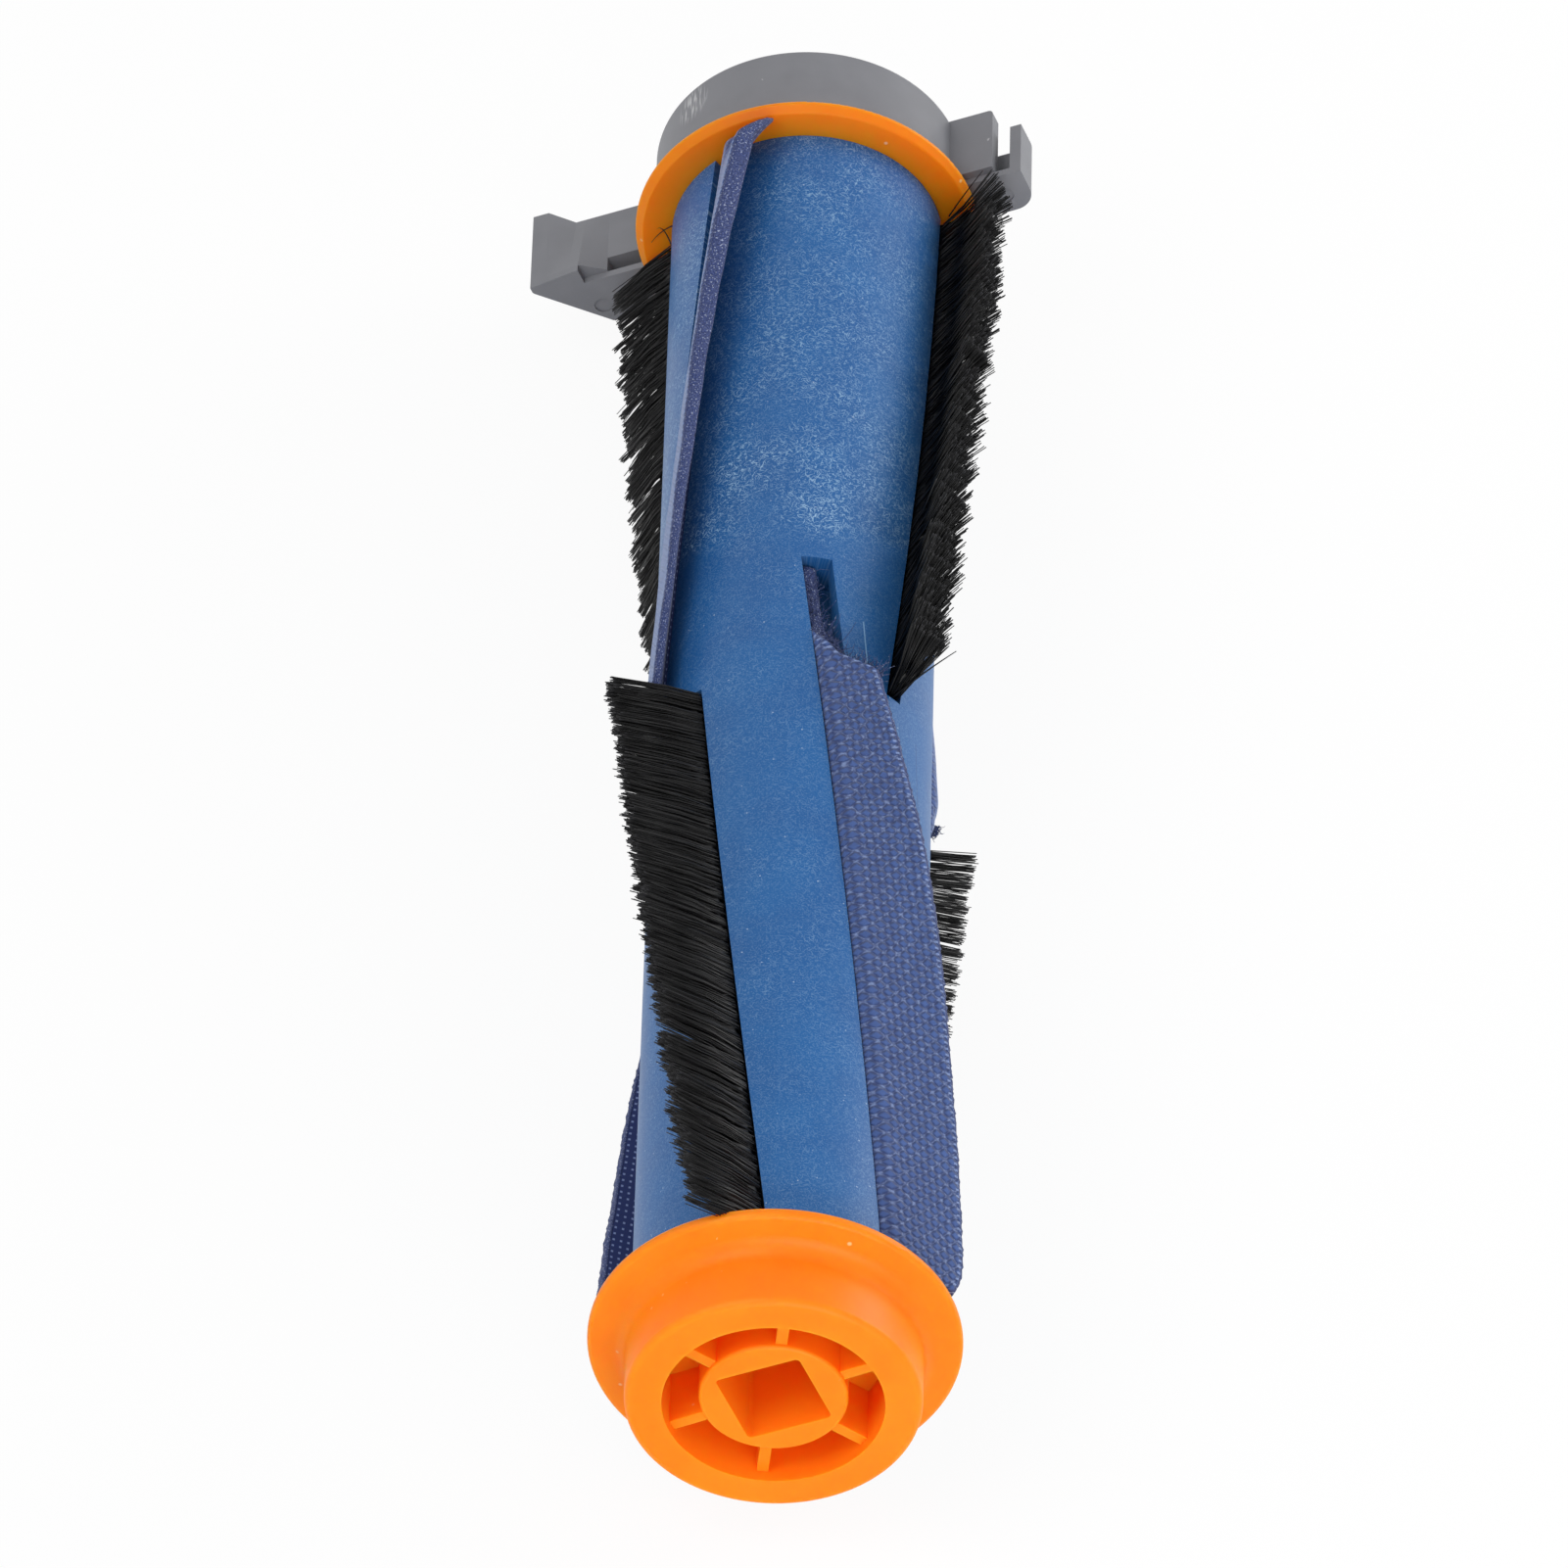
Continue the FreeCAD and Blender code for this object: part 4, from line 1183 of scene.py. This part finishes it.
@dataclass(frozen=True)
class SweeperFlap:
    """Woven flap on one wall of its slot, leaning over the slot's edge and cut back towards the mid plane.

    Args:
        half: half of the roller.
        number: 1 or 2, as in the frame's names.
        manner: how it lies.
        seed: start of its random numbers.
    """

    half: Half
    number: int
    manner: FlapManner
    seed: int

    angle: float = 17.7
    slot_width: float = 3.1
    seat_gap: float = 0.1
    thickness: float = 1.5
    foot: float = 11.6
    bend_radius: float = 1.5
    overrun: float = 15.3
    end_gap: float = 0.4
    full_length: float = 6.75
    taper_length: float = 32.0
    corner_length: float = 6.5
    cut_places: tuple[float, ...] = (-12.0, -6.8, -1.3, 1.2, 5.3)
    cut_lengths: tuple[float, ...] = (-2.2, -1.9, 0.5, 4.0, 4.5)
    stations: int = 260
    face_points: int = 44
    tip_points: int = 5
    fray_count: int = 340
    fray_radius: float = 0.045

    @property
    def node(self) -> str:
        """Name of the frame's node that the flap stands for."""
        return f"sweeper_flap_{self.half.name.lower()}_{self.number}"

    @property
    def slot(self) -> SlotPath:
        """Path of the flap's slot."""
        return SlotPath(self.half, self.number, self.angle)

    def lean_at(self, distance: Array) -> Array:
        """Lean of the blade in radians, between the manner's leans."""
        return np.radians(np.interp(distance, self.manner.lean_places, self.manner.leans))

    def tip_at(self, distance: Array) -> Array:
        """Thickness of the tip, between the manner's tips."""
        return np.interp(distance, self.manner.tip_places, self.manner.tips)

    def blade_at(self, distance: Array) -> Array:
        """Length of the blade past its bend.

        It rises steeply from the cut, then eases to the full length by a quarter of a sine wave, and drops as
        a quarter circle at the end corner.

        Args:
            distance: distances from the mid plane.

        Returns:
            Array of lengths.
        """
        cut = np.interp(distance, self.cut_places, self.cut_lengths)
        cut_end, cut_length = self.cut_places[-1], self.cut_lengths[-1]
        taper = np.clip((distance - cut_end) / self.taper_length, 0.0, 1.0)
        ease = cut_length + (self.full_length - cut_length) * np.sin(taper * np.pi / 2)
        corner_start = self.half.reach - self.corner_length
        corner = np.clip((distance - corner_start) / self.corner_length, 0.0, 1.0)
        drop = self.manner.corner_drop * (1.0 - np.sqrt(1.0 - corner ** 2))
        return np.where(distance < cut_end, cut, ease) - drop

    def section(self, distance: Array, share: Array) -> tuple[Array, Array, Array, Array]:
        """Middle line of the flap across the slot.

        The line runs straight out of the slot, turns by an even bend to the blade's lean and runs on
        straight. Its points are the running sums of the sine and cosine of its direction.

        Args:
            distance: column of distances from the mid plane.
            share: row of shares of the line's length.

        Returns:
            Side, height and direction at each point, and the run of the line up to it.
        """
        lean = self.lean_at(distance)
        straight = self.manner.bend_start - self.foot
        total = straight + self.bend_radius * lean + self.blade_at(distance)
        run = total * share
        direction = np.clip((run - straight) / self.bend_radius, 0.0, lean)
        step = np.diff(run, axis=1)
        middle = (direction[:, 1:] + direction[:, :-1]) / 2
        zero = np.zeros_like(total)
        seat = self.half.way * (self.slot_width / 2 - self.seat_gap - self.thickness / 2)
        side = seat + np.concatenate([zero, np.cumsum(step * np.sin(middle), axis=1)], axis=1)
        out = self.foot + np.concatenate([zero, np.cumsum(step * np.cos(middle), axis=1)], axis=1)
        return side, out, direction, run

    def sheet_facets(self, rng: np.random.Generator) -> Facets:
        """Closed flap: the face, the cut tip and the back, carried along the slot.

        Args:
            rng: source of random numbers.

        Returns:
            The facets, with plan coordinates along the flap and across it.
        """
        stations, face, tip = self.stations, self.face_points, self.tip_points
        distance = np.linspace(-self.overrun, self.half.reach - self.end_gap, stations)[:, None]
        share = np.linspace(0.0, 1.0, face)[None]
        side, out, direction, run = self.section(distance, share)
        swell = np.clip((share - 0.4) / 0.6, 0.0, 1.0)
        half = (self.thickness + (self.tip_at(distance) - self.thickness) * swell) / 2
        half = half * (1.0 - 0.1 * np.clip((share - 0.97) / 0.03, 0.0, 1.0))
        side = side + (self.thickness / 2 - half) * np.cos(direction)
        out = out - (self.thickness / 2 - half) * np.sin(direction)
        around = np.linspace(0.0, np.pi, tip + 2)[None, 1:-1]
        end = [part[:, -1:] for part in (side, out, direction)]
        fuzz = 0.06 * rng.standard_normal((stations, tip))
        crown = 0.22 * np.sin(around) + fuzz
        sides = [
            side - half * np.cos(direction),
            end[0] - half[:, -1:] * np.cos(around) * np.cos(end[2]) + crown * np.sin(end[2]),
            (side + half * np.cos(direction))[:, ::-1],
        ]
        outs = [
            out + half * np.sin(direction),
            end[1] + half[:, -1:] * np.cos(around) * np.sin(end[2]) + crown * np.cos(end[2]),
            (out - half * np.sin(direction))[:, ::-1],
        ]
        wave = 0.05 * np.sin(distance / 2.9) + 0.03 * np.sin(distance / 1.3 + 1.0)
        across = np.concatenate(sides, axis=1)
        rise = np.concatenate(outs, axis=1)
        height = np.clip((rise - ROLLER.core_radius) / 3.0, 0.0, 1.0)
        columns = across.shape[1]
        along = np.broadcast_to(distance, across.shape)
        points = self.slot.place(across, rise + wave * height, along).reshape(-1, 3)
        width = [run, run[:, -1:] + 0.4 * np.arange(1, tip + 1)[None], run[:, ::-1] + 2.5]
        layer = np.concatenate([np.zeros(face), np.full(tip, 0.5), np.ones(face)])
        layer[[face - 1, face + tip]] = 0.35, 0.65
        plan = np.stack([along, np.concatenate(width, axis=1)], axis=-1).reshape(-1, 2)
        turned = self.half is Half.DRIVE
        quads = grid_quads(stations, columns, wrap=True, flip=turned)
        pairs = np.arange(columns // 2 - 1)
        ends = np.stack([pairs, pairs + 1, columns - 2 - pairs, columns - 1 - pairs], axis=1)
        far = ends + columns * (stations - 1)
        caps = [ends, far[:, ::-1]] if turned else [ends[:, ::-1], far]
        rim = np.concatenate([run[:, -1:] - run, np.zeros((stations, tip)), np.full_like(run, 9.0)], axis=1)
        zeros = np.zeros(len(points))
        values = {"tone": zeros, "along": zeros, "layer": np.tile(layer, stations), "rim": rim.ravel()}
        return Facets(points, np.concatenate([quads, *caps]), np.zeros((0, 3), int), values, plan)

    def fray_facets(self, rng: np.random.Generator) -> Facets:
        """Loose threads along the cut: short curled hairs that start on its edge.

        Args:
            rng: source of random numbers.

        Returns:
            The facets of the threads.
        """
        count, steps = self.fray_count, np.linspace(0.0, 1.0, 5)
        near = rng.random(count) < 0.65
        start = np.where(near, rng.uniform(-5.0, 1.6, count), rng.uniform(-13.5, -5.0, count))
        side, out, direction, _ = self.section(start[:, None], np.linspace(0.0, 1.0, 24)[None])
        offset = (rng.random(count) - 0.5) * self.thickness
        root_side = side[:, -1] - offset * np.cos(direction[:, -1])
        root_out = out[:, -1] + offset * np.sin(direction[:, -1])
        length = rng.uniform(0.25, self.manner.fray, count) * np.where(rng.random(count) > 0.93, 1.9, 1.0)
        heading = direction[:, -1] + 0.7 * rng.standard_normal(count)
        curl = 1.2 * rng.standard_normal(count)
        angle = heading[:, None] + curl[:, None] * steps
        run = length[:, None] * steps
        drift = -rng.uniform(0.2, 1.1, count)[:, None] * length[:, None] * steps ** 1.2
        lines = self.slot.place(
            root_side[:, None] + run * np.sin(angle),
            np.maximum(root_out[:, None] + run * np.cos(angle), root_out[:, None] - 0.2),
            start[:, None] + drift)
        radius = np.full((count, len(steps)), self.fray_radius) * np.linspace(1.0, 0.6, len(steps))
        made = hairs(lines, radius, rng.random(count))
        made.values["layer"] = np.full(len(made.points), 0.5)
        made.values["rim"] = np.full(len(made.points), 9.0)
        made.plan[:] = made.points[:, :2]
        return made

    def build(self, finish: bpy.types.Material) -> bpy.types.Object:
        """Make the flap, put it on the roller and have it stand for its node.

        Args:
            finish: material of the flap.

        Returns:
            The flap's object.
        """
        rng = np.random.default_rng(self.seed)
        made = Facets.joined([self.sheet_facets(rng), self.fray_facets(rng)])
        piece = made.to_object(self.node.replace("flap", "cloth"))
        piece.data.materials.append(finish)
        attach(piece, "roller")
        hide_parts(self.node)
        LOG.info("%s: %d faces", piece.name, len(piece.data.polygons))
        return piece


@dataclass(frozen=True)
class RollerBody:
    """Core, end caps and bearing holder: the frame's own pieces, given their finishes."""

    core: CorePlastic = CorePlastic("core_plastic", 0.42)
    cap: MouldedPlastic = MouldedPlastic(
        "cap_plastic", 0.42, colour=(255, 133, 19), deep=(253, 127, 15), speck=(255, 216, 170),
        grain_pitch=0.2, grain_depth=0.003, speck_share=0.25, shine=0.16, glow=0.85)
    holder: MouldedPlastic = MouldedPlastic(
        "holder_plastic", 0.5, colour=(123, 124, 129), deep=(116, 117, 122), speck=(205, 205, 207),
        grain_pitch=0.14, grain_depth=0.012, speck_share=0.2,
        mark=(-0.01267, 0.1715, 0.00919), mark_radius=0.0028)
    spine: MouldedPlastic = MouldedPlastic(
        "spine_plastic", 0.5, colour=(34, 34, 36), deep=(26, 26, 28), speck=(80, 80, 84))
    steel: TurnedMetal = TurnedMetal("turned_steel", 0.3)
    bush: TurnedMetal = TurnedMetal("sintered_bronze", 0.42, colour=(176, 132, 78))

    def dress(self, frame: dict, effects: Effects) -> None:
        """Give each of the frame's shown pieces its finish.

        Args:
            effects: shared node groups.
        """
        made = {
            "core_blue": self.core.material(effects),
            "cap_orange": self.cap.material(effects),
            "housing_grey": self.holder.material(effects),
            "spine_plastic": self.spine.material(effects),
            "steel": self.steel.material(),
            "bush_bronze": self.bush.material(),
        }
        for part in frame["record"]["subparts"]:
            material = made.get(part["material_slot"])
            if material is not None:
                mesh = frame["nodes"][part["node"]].data
                mesh.materials.clear()
                mesh.materials.append(material)
                LOG.info("%s: %s", part["node"], material.name)


# Studio


@dataclass(frozen=True)
class Softbox:
    """Square lamp that faces a point of the brush.

    Args:
        name: name of the lamp.
        place: where it stands, in metres.
        size: length of its side, in metres.
        power: its power in watts.
    """

    name: str
    place: tuple[float, float, float]
    size: float
    power: float

    def build(self, target: Vector) -> None:
        """Make the lamp and turn it to the target."""
        lamp = bpy.data.lights.new(self.name, "AREA")
        lamp.size = self.size
        lamp.energy = self.power
        stand = bpy.data.objects.new(self.name, lamp)
        stand.location = self.place
        stand.rotation_euler = (target - Vector(self.place)).to_track_quat("-Z", "Y").to_euler()
        bpy.context.scene.collection.objects.link(stand)


@dataclass(frozen=True)
class Studio:
    """White floor, even surround, soft lamps and the camera.

    The camera is set by where it stands and looks from beside the brush before the brush was laid down, so
    both are turned about the axis with it.

    Args:
        stand: camera's place beside the upright roller, in millimetres.
        forward: the way it looks.
        right: the way to the right of its picture.
        focal_pixels: focal length in pixels of a picture as wide as picture_pixels.
        surround: brightness of the surround on the brush.
        floor_side: length of the floor's side, in metres.
        paper: how light the floor is.
        clean: share of the floor's own shade that is lifted to white where it is seen.
        lamps: the soft lamps.
    """

    stand: tuple[float, float, float] = (42.778, -978.517, 1049.012)
    forward: tuple[float, float, float] = (-0.02912838, 0.71113951, -0.70244725)
    right: tuple[float, float, float] = (0.99957568, 0.02072314, -0.02046984)
    focal_pixels: float = 15500.0
    picture_pixels: float = 1601.0
    surround: float = 0.57
    floor_side: float = 6.0
    paper: float = 0.86
    clean: float = 0.92
    lamps: tuple[Softbox, ...] = (
        Softbox("key_softbox", (-0.45, -0.25, 0.75), 0.6, 3.4),
        Softbox("front_softbox", (0.1, -0.42, 0.12), 0.3, 1.2),
        Softbox("right_softbox", (0.45, 0.3, 0.18), 0.25, 1.3),
    )

    def camera(self) -> None:
        """Make the camera and the scene's view of it."""
        turn = Matrix.Rotation(math.radians(ROLLER.rest_turn), 3, "Y")
        look = turn @ Vector(self.forward)
        right = turn @ Vector(self.right)
        up = right.cross(look)
        lens = bpy.data.cameras.new("camera")
        lens.sensor_width = 36.0
        lens.lens = lens.sensor_width * self.focal_pixels / self.picture_pixels
        lens.clip_start, lens.clip_end = 0.1, 20.0
        body = bpy.data.objects.new("camera", lens)
        axes = Matrix((right, up, -look)).transposed().to_4x4()
        axes.translation = turn @ Vector(self.stand) * MM
        body.matrix_world = axes
        bpy.context.scene.collection.objects.link(body)
        bpy.context.scene.camera = body

    def floor(self, level: float) -> None:
        """White floor at a level in metres, which keeps the brush's shadow and reads as white paper."""
        side = self.floor_side / 2
        corners = [(-side, -side, level), (side, -side, level), (side, side, level), (-side, side, level)]
        mesh = bpy.data.meshes.new("floor")
        mesh.from_pydata(corners, [], [(0, 1, 2, 3)])
        floor = bpy.data.objects.new("floor", mesh)
        bpy.context.scene.collection.objects.link(floor)
        material = bpy.data.materials.new("floor_paper")
        material.use_nodes = True
        knot = Knot(material.node_tree)
        material.node_tree.nodes.clear()
        paper = knot.add("ShaderNodeBsdfDiffuse", {"Color": (self.paper, self.paper, self.paper, 1.0)})
        glow = knot.add("ShaderNodeEmission", {"Strength": 1.0})
        seen = knot.math("MULTIPLY", self.seen_ray(knot), self.clean)
        mixed = knot.add("ShaderNodeMixShader", {0: seen, 1: paper.outputs[0], 2: glow.outputs[0]})
        knot.add("ShaderNodeOutputMaterial", {"Surface": mixed.outputs[0]})
        mesh.materials.append(material)
        floor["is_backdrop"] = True

    @staticmethod
    def seen_ray(knot: Knot) -> bpy.types.NodeSocket:
        """One where the camera sees a surface, straight, by gloss or through glass."""
        rays = knot.add("ShaderNodeLightPath").outputs
        glossy = knot.math("MAXIMUM", rays["Is Camera Ray"], rays["Is Glossy Ray"])
        return knot.math("MAXIMUM", glossy, rays["Is Transmission Ray"])

    def world(self) -> None:
        """Even surround that is white to the eye and softer on the brush."""
        world = bpy.data.worlds.new("surround")
        bpy.context.scene.world = world
        world.use_nodes = True
        knot = Knot(world.node_tree)
        world.node_tree.nodes.clear()
        strength = knot.math("MULTIPLY_ADD", self.seen_ray(knot), 1.0 - self.surround, self.surround)
        glow = knot.add("ShaderNodeBackground", {"Color": (1.0, 1.0, 1.0, 1.0), "Strength": strength})
        knot.add("ShaderNodeOutputWorld", {"Surface": glow.outputs[0]})

    def build(self, low: Vector, high: Vector) -> None:
        """Make everything round the brush.

        Args:
            low: lowest corner of the brush.
            high: highest corner of the brush.
        """
        bpy.context.scene.view_settings.view_transform = "Standard"
        self.camera()
        self.floor(low.z)
        self.world()
        for lamp in self.lamps:
            lamp.build((low + high) / 2)


ROWS = (
    BristleRow(
        Half.DRIVE, 1, RowManner((33.0, 35.0, 41.0), -4.0, 0.62, 0.4, 0.6, (-0.6, 2.4), 0.5), 11,
        filaments=3000, filament_radius=0.07),
    BristleRow(
        Half.DRIVE, 2, RowManner((36.0, 36.0, 40.0), -6.0, 0.6, 0.3, 0.55, (-0.4, 0.4), 0.45), 12,
        filaments=1500, filament_radius=0.065),
    BristleRow(
        Half.BEARING, 1, RowManner((20.0, 26.0, 36.0), 22.0, 0.85, 1.5, 0.7, (1.2, 0.8), 0.8), 13,
        filaments=3000, filament_radius=0.07),
    BristleRow(
        Half.BEARING, 2, RowManner((38.0, 39.0, 41.0), -7.0, 0.88, 1.6, 0.62, (0.6, 0.6), 0.6), 14,
        filaments=2300, filament_radius=0.065),
)

FLAP_MANNERS = {
    Half.DRIVE: FlapManner(13.0, (66.0,) * 5, (1.7,) * 5, 1.9, 1.5),
    Half.BEARING: FlapManner(13.5, (76.0, 68.0, 58.6, 57.0, 81.0), (0.9, 1.6, 2.1, 2.1, 0.7), 3.4, 0.45),
}

FLAPS = tuple(
    SweeperFlap(half, number, manner, 20 + 2 * half.way + number)
    for half, manner in FLAP_MANNERS.items()
    for number in (1, 2)
)


def main() -> None:
    """Load the frame, build every piece and the studio, and note the sizes."""
    logging.basicConfig(level=logging.INFO, format="%(name)s %(message)s")
    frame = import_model()
    cad_low, cad_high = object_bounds()
    effects = Effects()
    RollerBody().dress(frame, effects)
    filament = Filament("black_filament", 0.42).material()
    cloth = WovenCloth("woven_flap", 0.8).material(effects)
    for row in ROWS:
        row.build(filament)
    LooseHairs().build(filament)
    for flap in FLAPS:
        flap.build(cloth)
    Studio().build(cad_low, cad_high)


if __name__ == "__main__":
    main()
